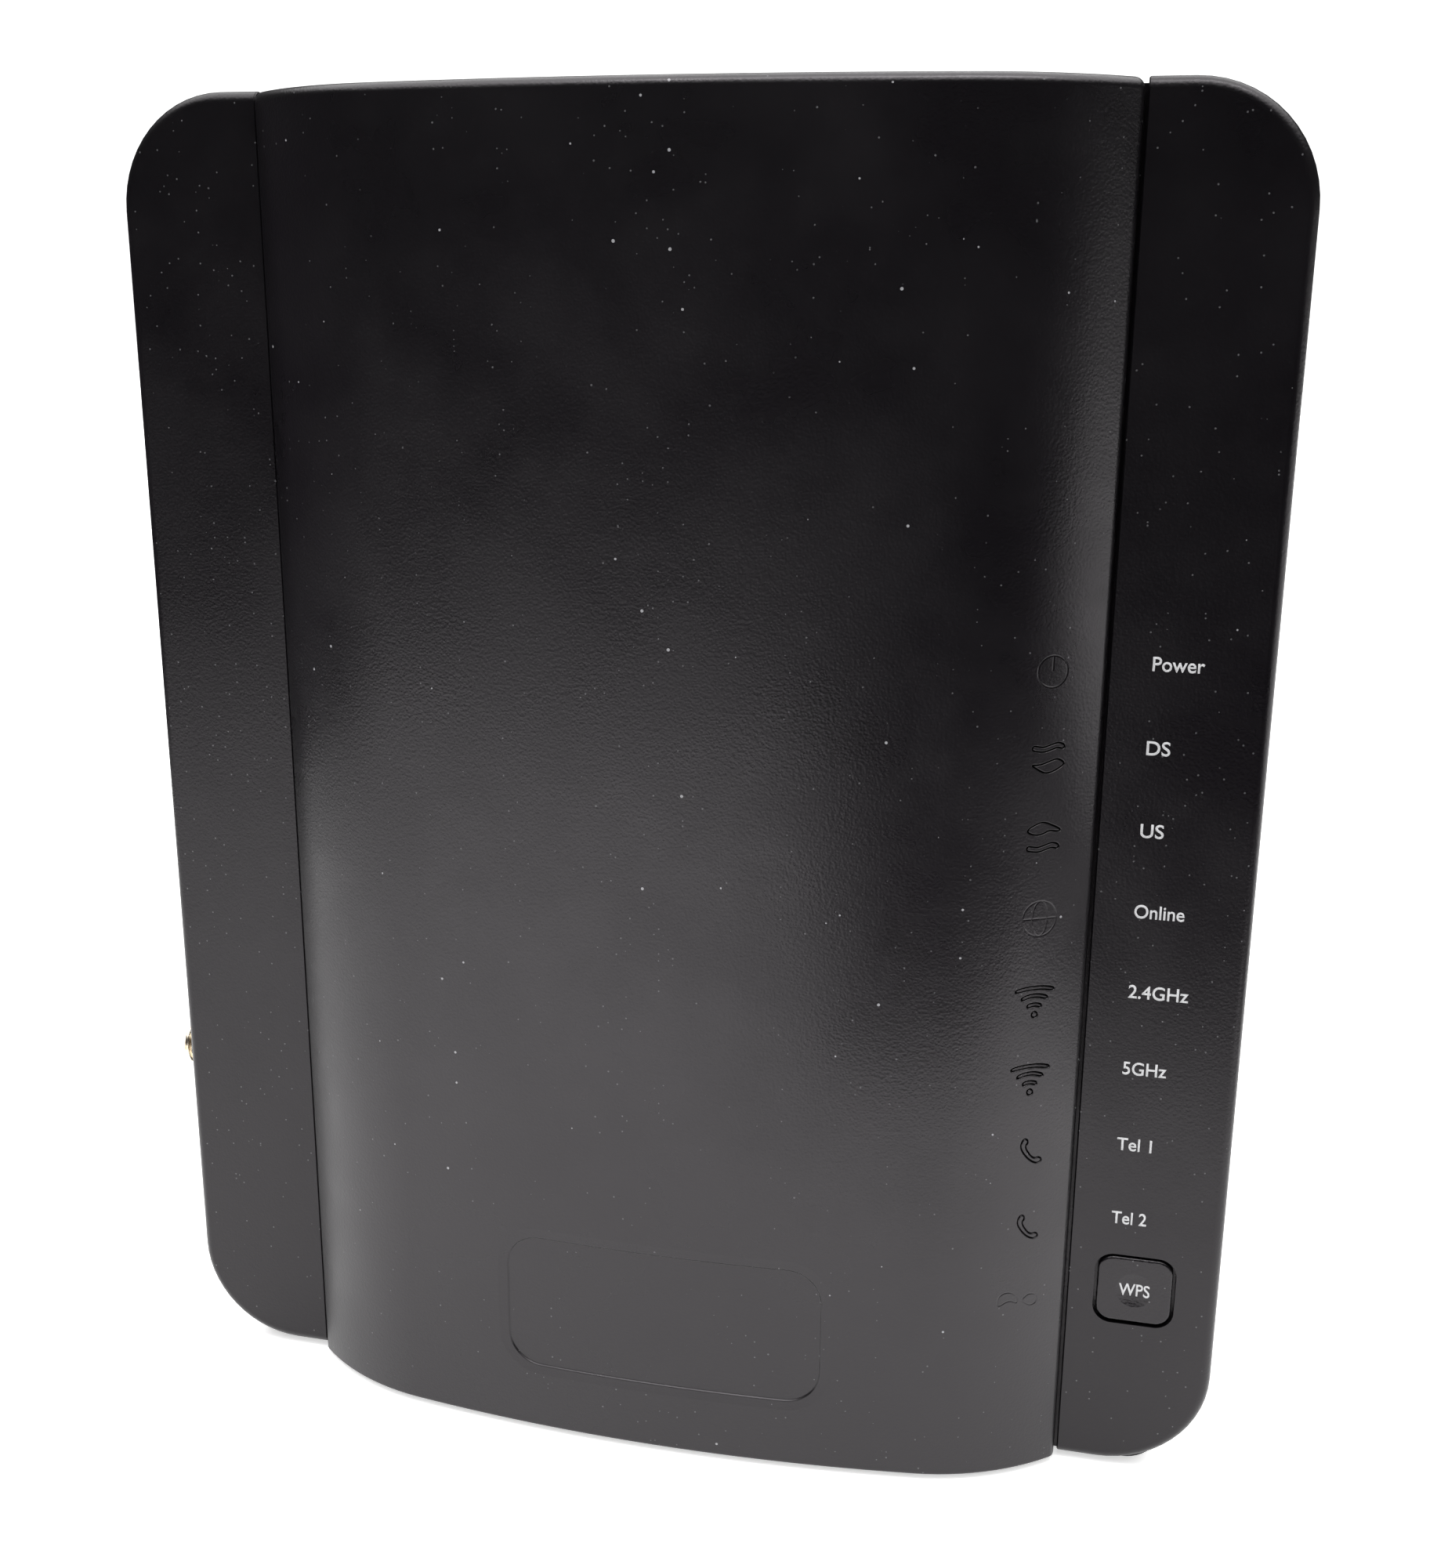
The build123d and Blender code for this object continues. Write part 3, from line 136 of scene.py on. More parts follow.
def grained_plastic(name, dark, light, rough, grain, specks=0.0, specular=0.5, cut=False):
    """Moulded plastic with a spark-eroded grain, faint smudges and a few specks of dust. Where
    cut is set, the mesh's cut attribute paints shade into the bottoms of engraved lines, black and
    metallic so that they reflect nothing."""
    mat, nodes, links = material(name)
    shader = nodes["Principled BSDF"]
    shader.inputs["Specular IOR Level"].default_value = specular
    shader.inputs["Specular Tint"].default_value = TINT
    coords = nodes.new("ShaderNodeTexCoord").outputs["Object"]
    cloud = noise(nodes, links, coords, CLOUDS, 3.0, 0.55)
    colour = mix_colour(nodes, links, ramp(nodes, links, cloud, 0.35, 0.65), dark, light)
    smudge = noise(nodes, links, coords, SMUDGES, 4.0, 0.6)
    links.new(
        ramp(nodes, links, smudge, 0.3, 0.7, rough - ROUGH_SPREAD, rough + ROUGH_SPREAD),
        shader.inputs["Roughness"],
    )
    pits = nodes.new("ShaderNodeTexVoronoi")
    pits.feature = "SMOOTH_F1"
    pits.inputs["Scale"].default_value = PITS
    pits.inputs["Smoothness"].default_value = 0.6
    links.new(coords, pits.inputs["Vector"])
    fine = noise(nodes, links, coords, FINE_GRAIN, 2.0, 0.6)
    broad = noise(nodes, links, coords, BROAD_GRAIN, 2.0, 0.5)
    height = math_node(nodes, links, "MULTIPLY", pits.outputs["Distance"], PIT_SHARE)
    for pattern, share in ((fine, FINE_SHARE), (broad, BROAD_SHARE)):
        part = math_node(nodes, links, "MULTIPLY", pattern, share)
        height = math_node(nodes, links, "ADD", height, part)
    bump = nodes.new("ShaderNodeBump")
    bump.inputs["Strength"].default_value = 1.0
    bump.inputs["Distance"].default_value = grain
    links.new(height, bump.inputs["Height"])
    links.new(bump.outputs["Normal"], shader.inputs["Normal"])
    if specks:
        clumps = noise(nodes, links, coords, CLUMPS, 3.0, 0.6)
        clumps = ramp(nodes, links, clumps, 0.3, 0.7, 0.4, 1.0)
        for scale, share, radius, tone in DUST:
            dots = nodes.new("ShaderNodeTexVoronoi")
            dots.inputs["Scale"].default_value = scale
            links.new(coords, dots.inputs["Vector"])
            cell = nodes.new("ShaderNodeSeparateColor")
            links.new(dots.outputs["Color"], cell.inputs[0])
            wanted = math_node(nodes, links, "MULTIPLY", clumps, share * specks)
            rare = math_node(nodes, links, "LESS_THAN", cell.outputs[0], wanted)
            size = math_node(nodes, links, "MULTIPLY", cell.outputs[1], 2.0 * radius)
            near = math_node(nodes, links, "LESS_THAN", dots.outputs["Distance"], size)
            speck = math_node(nodes, links, "MULTIPLY", rare, near)
            colour = mix_colour(nodes, links, speck, colour, (tone, tone, tone * 1.04))
    # Painted shade: the cut attribute turns the groove bottoms near black and metallic, standing in for
    # the shade inside the grooves
    if cut:
        sunk = nodes.new("ShaderNodeAttribute")
        sunk.attribute_name = "cut"
        groove_shade = ramp(nodes, links, sunk.outputs["Fac"], 0.12, 0.75)
        colour = mix_colour(nodes, links, groove_shade, colour, GROOVE_PAINTED_SHADE)
        links.new(groove_shade, shader.inputs["Metallic"])
    links.new(colour, shader.inputs["Base Color"])
    return mat


def smooth_plastic(name, colour, rough, shade=0.75, transmission=0.0):
    """Plain moulded plastic, with faint flow marks."""
    mat, nodes, links = material(name)
    shader = nodes["Principled BSDF"]
    coords = nodes.new("ShaderNodeTexCoord").outputs["Object"]
    flow = noise(nodes, links, coords, 60.0, 3.0)
    dark = tuple(c * shade for c in colour)
    links.new(mix_colour(nodes, links, flow, dark, colour), shader.inputs["Base Color"])
    links.new(ramp(nodes, links, flow, 0.3, 0.7, rough - 0.04, rough + 0.06), shader.inputs["Roughness"])
    bump = nodes.new("ShaderNodeBump")
    bump.inputs["Strength"].default_value = 0.5
    bump.inputs["Distance"].default_value = 0.00001
    links.new(noise(nodes, links, coords, 1800.0, 2.0), bump.inputs["Height"])
    links.new(bump.outputs["Normal"], shader.inputs["Normal"])
    shader.inputs["Transmission Weight"].default_value = transmission
    return mat


def metal(name, colour, rough, tarnish, streak=0.0):
    """Plated or sheet metal, with tarnish and, where streak is set, a brushed direction."""
    mat, nodes, links = material(name)
    shader = nodes["Principled BSDF"]
    shader.inputs["Metallic"].default_value = 1.0
    coords = nodes.new("ShaderNodeTexCoord").outputs["Object"]
    stain = noise(nodes, links, coords, 260.0, 4.0, 0.6)
    links.new(
        mix_colour(nodes, links, ramp(nodes, links, stain, 0.42, 0.72), colour, tarnish),
        shader.inputs["Base Color"],
    )
    links.new(ramp(nodes, links, stain, 0.3, 0.75, rough, rough + 0.18), shader.inputs["Roughness"])
    stretch = nodes.new("ShaderNodeMapping")
    stretch.inputs["Scale"].default_value = (1.0, 1.0, 1.0 + streak)
    links.new(coords, stretch.inputs["Vector"])
    bump = nodes.new("ShaderNodeBump")
    bump.inputs["Strength"].default_value = 0.35
    bump.inputs["Distance"].default_value = 0.00001
    links.new(noise(nodes, links, stretch.outputs["Vector"], 900.0, 2.0), bump.inputs["Height"])
    links.new(bump.outputs["Normal"], shader.inputs["Normal"])
    return mat


def board_material():
    """Green solder mask over copper tracks."""
    mat, nodes, links = material("solder_mask")
    shader = nodes["Principled BSDF"]
    coords = nodes.new("ShaderNodeTexCoord").outputs["Object"]
    tracks = nodes.new("ShaderNodeTexVoronoi")
    tracks.distance = "CHEBYCHEV"
    tracks.feature = "DISTANCE_TO_EDGE"
    tracks.inputs["Scale"].default_value = 240.0
    links.new(coords, tracks.inputs["Vector"])
    track = ramp(nodes, links, tracks.outputs["Distance"], 0.03, 0.09, 1.0, 0.0)
    links.new(
        mix_colour(nodes, links, track, (0.012, 0.085, 0.035), (0.03, 0.16, 0.06)),
        shader.inputs["Base Color"],
    )
    shader.inputs["Roughness"].default_value = 0.35
    bump = nodes.new("ShaderNodeBump")
    bump.inputs["Strength"].default_value = 0.6
    bump.inputs["Distance"].default_value = 0.00004
    links.new(track, bump.inputs["Height"])
    links.new(bump.outputs["Normal"], shader.inputs["Normal"])
    return mat


def paper_material():
    mat, nodes, links = material("label_paper")
    shader = nodes["Principled BSDF"]
    coords = nodes.new("ShaderNodeTexCoord").outputs["Object"]
    fibre = noise(nodes, links, coords, 500.0, 5.0, 0.7)
    links.new(
        mix_colour(nodes, links, fibre, (0.70, 0.69, 0.66), (0.80, 0.80, 0.78)),
        shader.inputs["Base Color"],
    )
    shader.inputs["Roughness"].default_value = 0.42
    bump = nodes.new("ShaderNodeBump")
    bump.inputs["Strength"].default_value = 0.3
    bump.inputs["Distance"].default_value = 0.00001
    links.new(fibre, bump.inputs["Height"])
    links.new(bump.outputs["Normal"], shader.inputs["Normal"])
    return mat


def print_material():
    """White ink, slightly uneven."""
    mat, nodes, links = material("white_print")
    shader = nodes["Principled BSDF"]
    coords = nodes.new("ShaderNodeTexCoord").outputs["Object"]
    patch = noise(nodes, links, coords, 1600.0, 2.0)
    links.new(
        mix_colour(nodes, links, patch, (0.50, 0.50, 0.51), (0.66, 0.66, 0.67)),
        shader.inputs["Base Color"],
    )
    shader.inputs["Roughness"].default_value = 0.6
    return mat


PANEL_PLASTIC = grained_plastic(
    "panel_plastic", (0.0027, 0.0023, 0.0030), (0.0033, 0.0030, 0.0036), 0.30, 0.000018,
    specks=1.0, specular=0.50, cut=True,
)
WING_PLASTIC = grained_plastic(
    "wing_plastic", (0.0022, 0.0018, 0.0025), (0.0028, 0.0025, 0.0031), 0.31, 0.000018,
    specks=1.0, specular=0.38,
)
REAR_PLASTIC = grained_plastic(
    "rear_plastic", (0.0060, 0.0056, 0.0064), (0.0075, 0.0072, 0.0078), 0.42, 0.00003,
    specks=0.3,
)
BUTTON_PLASTIC = grained_plastic(
    "button_plastic", (0.0024, 0.0020, 0.0027), (0.0030, 0.0027, 0.0033), 0.28, 0.00003,
    specks=0.5, specular=0.42,
)
RUBBER = grained_plastic("foot_rubber", (0.008, 0.008, 0.008), (0.013, 0.013, 0.013), 0.8, 0.00004)
BLACK = smooth_plastic("black_plastic", (0.014, 0.014, 0.015), 0.38)
CHIP = smooth_plastic("chip_resin", (0.018, 0.018, 0.019), 0.55)
CREAM = smooth_plastic("switch_plastic", (0.62, 0.56, 0.44), 0.35, 0.9)
WHITE = smooth_plastic("white_plastic", (0.74, 0.74, 0.72), 0.32, 0.93)
CLEAR = smooth_plastic("clear_plastic", (0.86, 0.88, 0.90), 0.12, 0.97, 0.9)
LED = smooth_plastic("led_resin", (0.80, 0.76, 0.52), 0.2, 0.9, 0.4)
PAD = smooth_plastic("pad_rubber", (0.34, 0.40, 0.46), 0.7, 0.85)
NICKEL = metal("port_metal", (0.78, 0.70, 0.56), 0.17, (0.36, 0.25, 0.14))
STEEL = metal("steel_sheet", (0.62, 0.62, 0.63), 0.28, (0.42, 0.42, 0.42), 6.0)
GOLD = metal("contact_gold", (0.83, 0.62, 0.26), 0.2, (0.55, 0.36, 0.14))
SINK = metal("sink_metal", (0.05, 0.05, 0.055), 0.4, (0.03, 0.03, 0.03), 3.0)
CAN = metal("can_metal", (0.66, 0.67, 0.69), 0.25, (0.5, 0.5, 0.5), 4.0)
SCREW = metal("screw_steel", (0.36, 0.36, 0.37), 0.3, (0.2, 0.2, 0.2))
BOARD = board_material()
PAPER = paper_material()
PRINT = print_material()

BY_SLOT = {
    "wing_plastic": WING_PLASTIC,
    "panel_plastic": PANEL_PLASTIC,
    "rear_plastic": REAR_PLASTIC,
    "button_plastic": BUTTON_PLASTIC,
    "foot_rubber": RUBBER,
    "label_paper": PAPER,
    "black_plastic": BLACK,
    "switch_plastic": CREAM,
    "circuit_board": BOARD,
    "port_metal": NICKEL,
    "steel_sheet": STEEL,
    "contact_gold": GOLD,
    "white_plastic": WHITE,
    "clear_plastic": CLEAR,
    "led_resin": LED,
    "chip_resin": CHIP,
    "sink_metal": SINK,
    "pad_rubber": PAD,
    "can_metal": CAN,
    "screw_steel": SCREW,
}
for part in frame["record"]["subparts"]:
    slots = NODES[part["node"]].data.materials
    slots.clear()
    slots.append(BY_SLOT[part["material_slot"]])

# ------------------------------------------------------------------ centre panel

# The plan section of the panel, in millimetres from the casing's centre plane (x) and back
# from the wings' front face (y)
BULGE = (WING_Y - PANEL_LOW.y) / MM
HALF = (PANEL_HIGH.x - PANEL_LOW.x) / 2 / MM
SHOULDER = (50.0, -13.15)
EDGE_Y = -1.4
BACK_Y = 3.0
SIDE_R = 2.0
TOP_R = 1.8
LOW_R = 0.6
WALL = 2.2
LOW_Z = PANEL_LOW.z / MM
HIGH_Z = PANEL_HIGH.z / MM


class Section:
    """Half of the panel's section as arc length from the middle: crown, shoulder, corner, side."""

    def __init__(self):
        rise = BULGE + SHOULDER[1]
        self.crown_r = (SHOULDER[0] ** 2 + rise**2) / (2 * rise)
        self.crown_c = (0.0, self.crown_r - BULGE)
        turn = math.asin(SHOULDER[0] / self.crown_r)
        across, back = HALF - SHOULDER[0], EDGE_Y - SHOULDER[1]
        inward = (-math.sin(turn), math.cos(turn))
        self.arm_r = (across**2 + back**2) / (2 * (across * inward[0] + back * inward[1]))
        self.arm_c = (SHOULDER[0] + inward[0] * self.arm_r, SHOULDER[1] + inward[1] * self.arm_r)
        reach = HALF - SIDE_R - self.arm_c[0]
        drop = math.sqrt((self.arm_r - SIDE_R) ** 2 - reach**2)
        self.side_c = (HALF - SIDE_R, self.arm_c[1] - drop)
        meet = math.atan2(reach, drop)
        self.turns = (turn, meet, math.pi / 2)
        self.ends = [self.crown_r * turn]
        self.ends.append(self.ends[0] + self.arm_r * (meet - turn))
        self.ends.append(self.ends[1] + SIDE_R * (math.pi / 2 - meet))
        self.ends.append(self.ends[2] + BACK_Y - self.side_c[1])

    def __call__(self, u):
        """Point and outward normal at arc length u."""
        sign = 1.0 if u >= 0 else -1.0
        u = abs(u)
        if u > self.ends[2]:
            return (sign * HALF, self.side_c[1] + u - self.ends[2]), (sign, 0.0)
        if u <= self.ends[0]:
            centre, radius, angle = self.crown_c, self.crown_r, u / self.crown_r
        elif u <= self.ends[1]:
            centre, radius = self.arm_c, self.arm_r
            angle = self.turns[0] + (u - self.ends[0]) / self.arm_r
        else:
            centre, radius = self.side_c, SIDE_R
            angle = self.turns[1] + (u - self.ends[1]) / SIDE_R
        normal = (math.sin(angle), -math.cos(angle))
        x, y = (c + radius * n for c, n in zip(centre, normal))
        return (sign * x, y), (sign * normal[0], normal[1])

    def at_x(self, x):
        """Arc length where the section crosses x."""
        low, high = 0.0, self.ends[1]
        for _ in range(40):
            middle = (low + high) / 2
            if self(middle)[0][0] < abs(x):
                low = middle
            else:
                high = middle
        return math.copysign((low + high) / 2, x)


section = Section()


def arc(radius, start, end, count, centre=(0.0, 0.0)):
    """Points on an arc, with angles in degrees from +u towards +z."""
    return [
        (
            centre[0] + radius * math.cos(math.radians(start + (end - start) * i / count)),
            centre[1] + radius * math.sin(math.radians(start + (end - start) * i / count)),
        )
        for i in range(count + 1)
    ]


def closed(points):
    return list(points) + [points[0]]


def smooth_loop(points, rounds=3):
    """Chaikin's corner cutting on a closed outline."""
    for _ in range(rounds):
        cut = []
        for a, b in zip(points, points[1:] + points[:1]):
            cut.append((0.75 * a[0] + 0.25 * b[0], 0.75 * a[1] + 0.25 * b[1]))
            cut.append((0.25 * a[0] + 0.75 * b[0], 0.25 * a[1] + 0.75 * b[1]))
        points = cut
    return closed(points)


def band(points, thick, rounds=2):
    """Outline of a thin band along a line, with round ends."""
    count = len(points)
    sides = []
    for sign in (1, -1):
        side = []
        for i, (u, z) in enumerate(points):
            a, b = points[max(0, i - 1)], points[min(count - 1, i + 1)]
            du, dz = b[0] - a[0], b[1] - a[1]
            size = math.hypot(du, dz)
            side.append((u - sign * dz / size * thick / 2, z + sign * du / size * thick / 2))
        sides.append(side)
    return smooth_loop(sides[0] + sides[1][::-1], rounds)


WAVE = [(-3.1, 1.35), (-1.9, 1.1), (-0.9, 1.0), (0.4, 1.4), (1.6, 1.75), (2.8, 1.35)]
SWELL = [
    (-3.3, -1.5), (-1.7, -1.7), (0.4, -1.0), (1.6, -0.6), (3.1, -1.4), (2.4, -2.2), (-0.2, -3.3),
    (-1.8, -2.5),
]
CREST = [
    (-3.2, 1.9), (-1.8, 2.7), (-0.3, 3.2), (1.8, 2.3), (3.1, 1.6), (2.7, 1.2), (0.9, 1.6),
    (-0.2, 1.0), (-1.7, 0.8), (-3.0, 1.3),
]
HANDSET = [
    (-0.6, 3.2), (-1.1, 1.9), (-0.6, 0.6), (0.8, -1.1), (2.4, -2.0), (3.4, -1.4), (2.8, -0.7),
    (1.7, -0.9), (0.7, 0.1), (-0.2, 1.7), (0.4, 2.5), (0.2, 3.1),
]


def shifted(points, du, dz):
    return [(u + du, z + dz) for u, z in points]


DOWN_ARROW = [band(WAVE, 0.85), smooth_loop(SWELL, 2)]
UP_ARROW = [smooth_loop(CREST, 2), band(shifted(WAVE, 0.0, -2.8), 0.85)]
FAN_SPREADS = ((3.7, 2.0, 0.5), (2.5, 0.5, 0.55), (1.35, -0.95, 0.3))  # half width, foot, rise
FAN = [
    band([(-half, foot), (-0.36 * half, foot + rise), (0.36 * half, foot + rise), (half, foot)], 0.6)
    for half, foot, rise in FAN_SPREADS
] + [arc(0.55, 0, 360, 16, (0.1, -2.5))]
GLOBE = [
    arc(3.2, 0, 360, 40, (0.0, 0.5)),
    [(math.copysign(abs(u) * 0.45, u), z + 0.5) for u, z in arc(3.2, 0, 360, 40)],
    [(-3.2, 0.5), (3.2, 0.5)],
]
POWER = [arc(2.7, 0, 360, 40, (-0.2, -0.45)), [(-0.2, -0.2), (-0.2, 2.0)]]
CURLS = [
    smooth_loop([(-3.9, -0.9), (-3.8, 1.5), (-2.0, 2.3), (-0.3, 1.4), (0.2, -0.6), (-1.6, 0.6)]),
    smooth_loop([(1.1, -0.2), (2.8, -1.4), (4.2, -0.7), (3.9, 0.8), (2.4, 1.3), (1.0, 0.3)]),
]
# One icon for each light guide, from the top down: its outlines, and the cut's depth
ICONS = [
    (POWER, 0.06),
    (DOWN_ARROW, 0.26),
    (UP_ARROW, 0.26),
    (GLOBE, 0.05),
    (FAN, 0.24),
    (FAN, 0.24),
    ([smooth_loop(HANDSET, 2)], 0.22),
    ([smooth_loop(shifted(HANDSET, 0.2, -0.4), 2)], 0.20),
    (CURLS, 0.06),
]
CUT_HALF_WIDTH = 0.22
FULL_CUT = 0.24  # a groove this deep gets the full painted shade at the bottom
SLOPE_STEP = 0.02
DISH_R, DISH_DEPTH = 3.9, 0.05  # the shallow dish round the power icon


def groove(u, z, lines, depth):
    """How far the icon's cut lies below the surface, over arrays of local positions."""
    nearest = np.full(u.shape, 9.0)
    for line in lines:
        for (u0, z0), (u1, z1) in zip(line, line[1:]):
            du, dz = u1 - u0, z1 - z0
            t = np.clip(((u - u0) * du + (z - z0) * dz) / max(du * du + dz * dz, 1e-12), 0, 1)
            nearest = np.minimum(nearest, np.hypot(u - u0 - t * du, z - z0 - t * dz))
    share = np.clip(nearest / CUT_HALF_WIDTH, 0, 1)
    return -depth * 0.5 * (1 + np.cos(np.pi * share))


class Skin:
    """A mesh over (u, z), welded along shared lines, with its normals set one by one."""

    def __init__(self):
        self.points, self.normals, self.cuts, self.faces = [], [], [], []
        self.index, self.on_u, self.on_z = {}, {}, {}

    def raw(self, co, normal, cut=0.0):
        self.points.append(co)
        self.normals.append(normal)
        self.cuts.append(cut)
        return len(self.points) - 1

    def vertex(self, u, z, sink=0.0, slope=(0.0, 0.0), cut=0.0):
        """Vertex on the panel's front at (u, z), sink millimetres below the surface."""
        key = (round(u, 4), round(z, 4))
        if key not in self.index:
            (x, y), (nx, ny) = section(u)
            normal = Vector((nx + ny * slope[0], ny - nx * slope[0], -slope[1])).normalized()
            co = (x + nx * sink, y + ny * sink, z)
            self.index[key] = self.raw(co, normal, cut)
            self.on_u.setdefault(key[0], []).append(key[1])
            self.on_z.setdefault(key[1], []).append(key[0])
        return self.index[key]

    def path(self, a, b):
        """Vertices from a up to b, b left out, with all that lie between them on one line."""
        a, b = ((round(u, 4), round(z, 4)) for u, z in (a, b))
        found = [a]
        if a[0] == b[0]:
            low, high = sorted((a[1], b[1]))
            between = sorted(z for z in self.on_u[a[0]] if low < z < high)
            found += [(a[0], z) for z in (between if b[1] > a[1] else reversed(between))]
        elif a[1] == b[1]:
            low, high = sorted((a[0], b[0]))
            between = sorted(u for u in self.on_z[a[1]] if low < u < high)
            found += [(u, a[1]) for u in (between if b[0] > a[0] else reversed(between))]
        return [self.index[k] for k in found]

    def quad(self, *corners):
        """A face on corners whose edges hold no other vertices."""
        self.faces.append([self.index[(round(u, 4), round(z, 4))] for u, z in corners])

    def face(self, *corners):
        """A face that takes in every vertex along its edges."""
        ring = []
        for a, b in zip(corners, corners[1:] + corners[:1]):
            ring += self.path(a, b)
        self.faces.append(ring)


def subdivided(lines, step):
    """The lines, with more between them so that none are further apart than step."""
    out = []
    for a, b in zip(lines, lines[1:]):
        n = max(1, math.ceil((b - a) / step - 1e-6))
        out += [a + (b - a) * i / n for i in range(n)]
    return out + [lines[-1]]


# Icon patches: one small square over each light guide
GUIDE_LOW, GUIDE_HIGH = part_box("light_guides")
ICON_U = section.at_x(((GUIDE_LOW.x + GUIDE_HIGH.x) / 2 - CENTRE_X) / MM)
GUIDE_R = 2.5
ROW_SPAN = (GUIDE_HIGH.z - GUIDE_LOW.z) / MM - 2 * GUIDE_R
ICON_ROWS = [
    GUIDE_HIGH.z / MM - GUIDE_R - ROW_SPAN * i / (len(ICONS) - 1) for i in range(len(ICONS))
]
PATCH = 4.6
FINE = 0.1  # spacing of the vertices in a patch
NEAR = 1e-3

# Sunk plate low on the panel: an outline, a sloping border and a step down to the floor
PLATE_U, PLATE_Z = 1.3, 28.6
PLATE_HALF = (32.6, 15.8)
PLATE_R = 8.6
PLATE_PROFILE = [  # inwards from the outline, depth, slope
    (0.0, 0.0, 0.0),
    (0.18, 0.012, 0.09),
    (0.9, 0.07, 0.07),
    (1.80, 0.13, 0.06),
    (1.92, 0.17, 0.9),
    (2.02, 0.30, 1.3),
    (2.12, 0.385, 0.8),
    (2.24, 0.40, 0.0),
]
MARGIN = 0.8
UPPER_LINES = (180.0, 200.0, 220.0, 235.0)  # heights of the mesh lines above the icons

u_patch = [ICON_U - PATCH, ICON_U + PATCH]
z_patch = [z + s * PATCH for z in ICON_ROWS for s in (-1, 1)]
CORNER_STEPS, STRAIGHT_STEPS = 12, 16
corner_angles = [math.radians(90 * i / CORNER_STEPS) for i in range(CORNER_STEPS + 1)]


def border_point(angle):
    """Where a ray from the plate's corner centre meets the patch's edge, relative to the centre."""
    reach = PLATE_R + MARGIN
    c, s = math.cos(angle), math.sin(angle)
    scale = reach / max(c, s)
    return (c * scale, s * scale)


END_U = section.ends[3]
SIDE_STEPS, FRONT_STEPS = 6, 12
TOP_STEPS, LOW_STEPS = 8, 3


def both_sides(start, end, count):
    """Steps from start up to end, end left out, on either side of the middle."""
    return [s * (start + (end - start) * i / count) for i in range(count) for s in (-1, 1)]


u_lines = sorted(
    {
        round(v, 4)
        for v in (
            [s * END_U for s in (-1, 1)]
            + [s * section.ends[2] for s in (-1, 1)]
            + both_sides(section.ends[1], section.ends[2], SIDE_STEPS)
            + both_sides(section.ends[0], section.ends[1], FRONT_STEPS)
            + both_sides(0.0, section.ends[0], FRONT_STEPS)
            + u_patch
            + [PLATE_U + s * (PLATE_HALF[0] + MARGIN) for s in (-1, 1)]
        )
    }
)
z_lines = sorted(
    {
        round(v, 4)
        for v in (
            [LOW_Z + LOW_R, HIGH_Z - TOP_R, *UPPER_LINES]
            + z_patch
            + [PLATE_Z + s * (PLATE_HALF[1] + MARGIN) for s in (-1, 1)]
        )
    }
)

skin = Skin()

for (lines, depth), row_z in zip(ICONS, ICON_ROWS):
    us = subdivided([u for u in u_lines if u_patch[0] - NEAR <= u <= u_patch[1] + NEAR], FINE)
    zs = subdivided(
        [z for z in z_lines if row_z - PATCH - NEAR <= z <= row_z + PATCH + NEAR], FINE
    )
    grid_u, grid_z = np.meshgrid(np.array(us) - ICON_U, np.array(zs) - row_z, indexing="ij")
    sink = groove(grid_u, grid_z, lines, depth)
    if lines is POWER:
        away = np.clip(np.hypot(grid_u, grid_z) / DISH_R, 0, 1)
        sink = sink - DISH_DEPTH * 0.5 * (1 + np.cos(np.pi * away**2))
    slope_u, slope_z = (
        (groove(grid_u + du, grid_z + dz, lines, depth) - groove(grid_u - du, grid_z - dz, lines, depth))
        / (2 * SLOPE_STEP)
        for du, dz in ((SLOPE_STEP, 0), (0, SLOPE_STEP))
    )
    # Share of the full groove depth, which the panel's material paints as shade at the groove bottoms
    cut = np.clip(-sink / FULL_CUT, 0, 1)
    for i, u in enumerate(us):
        for j, z in enumerate(zs):
            skin.vertex(u, z, sink[i, j], (slope_u[i, j], slope_z[i, j]), cut[i, j])
    for i in range(len(us) - 1):
        for j in range(len(zs) - 1):
            u0, u1, z0, z1 = us[i], us[i + 1], zs[j], zs[j + 1]
            skin.quad((u0, z0), (u1, z0), (u1, z1), (u0, z1))

# The plate's rings share one list of directions round the rounded outline
ring_dirs = []
straight_u = PLATE_HALF[0] - PLATE_R
straight_z = PLATE_HALF[1] - PLATE_R
for sx, sz in ((1, 1), (-1, 1), (-1, -1), (1, -1)):
    angles = corner_angles if sx * sz > 0 else corner_angles[::-1]
    for angle in angles:
        ring_dirs.append((sx, sz, angle))
    if (sx, sz) in ((1, 1), (-1, -1)):
        for i in range(1, STRAIGHT_STEPS):
            ring_dirs.append((sx, sz, ("straight", 1 - 2 * i / STRAIGHT_STEPS)))


def ring_point(direction, inset, border=False):
    """A point of the ring that lies inset inside the plate's outline, or on the patch's edge."""
    sx, sz, angle = direction
    if isinstance(angle, tuple):
        z = PLATE_HALF[1] + MARGIN if border else PLATE_HALF[1] - inset
        return (PLATE_U + sx * straight_u * angle[1], PLATE_Z + sz * z)
    if border:
        du, dz = border_point(angle)
    else:
        du = (PLATE_R - inset) * math.cos(angle)
        dz = (PLATE_R - inset) * math.sin(angle)
    return (PLATE_U + sx * (straight_u + du), PLATE_Z + sz * (straight_z + dz))


def ring_slope(direction, slope):
    sx, sz, angle = direction
    if isinstance(angle, tuple):
        return (0.0, sz * slope)
    return (sx * math.cos(angle) * slope, sz * math.sin(angle) * slope)


edge_ring = [ring_point(d, 0.0, True) for d in ring_dirs]
for u, z in edge_ring:
    skin.vertex(u, z)
rings = []
for inset, depth, slope in PLATE_PROFILE:
    ring = []
    for d in ring_dirs:
        u, z = ring_point(d, inset)
        ring.append((u, z))
        skin.vertex(u, z, -depth, ring_slope(d, slope))
    rings.append(ring)

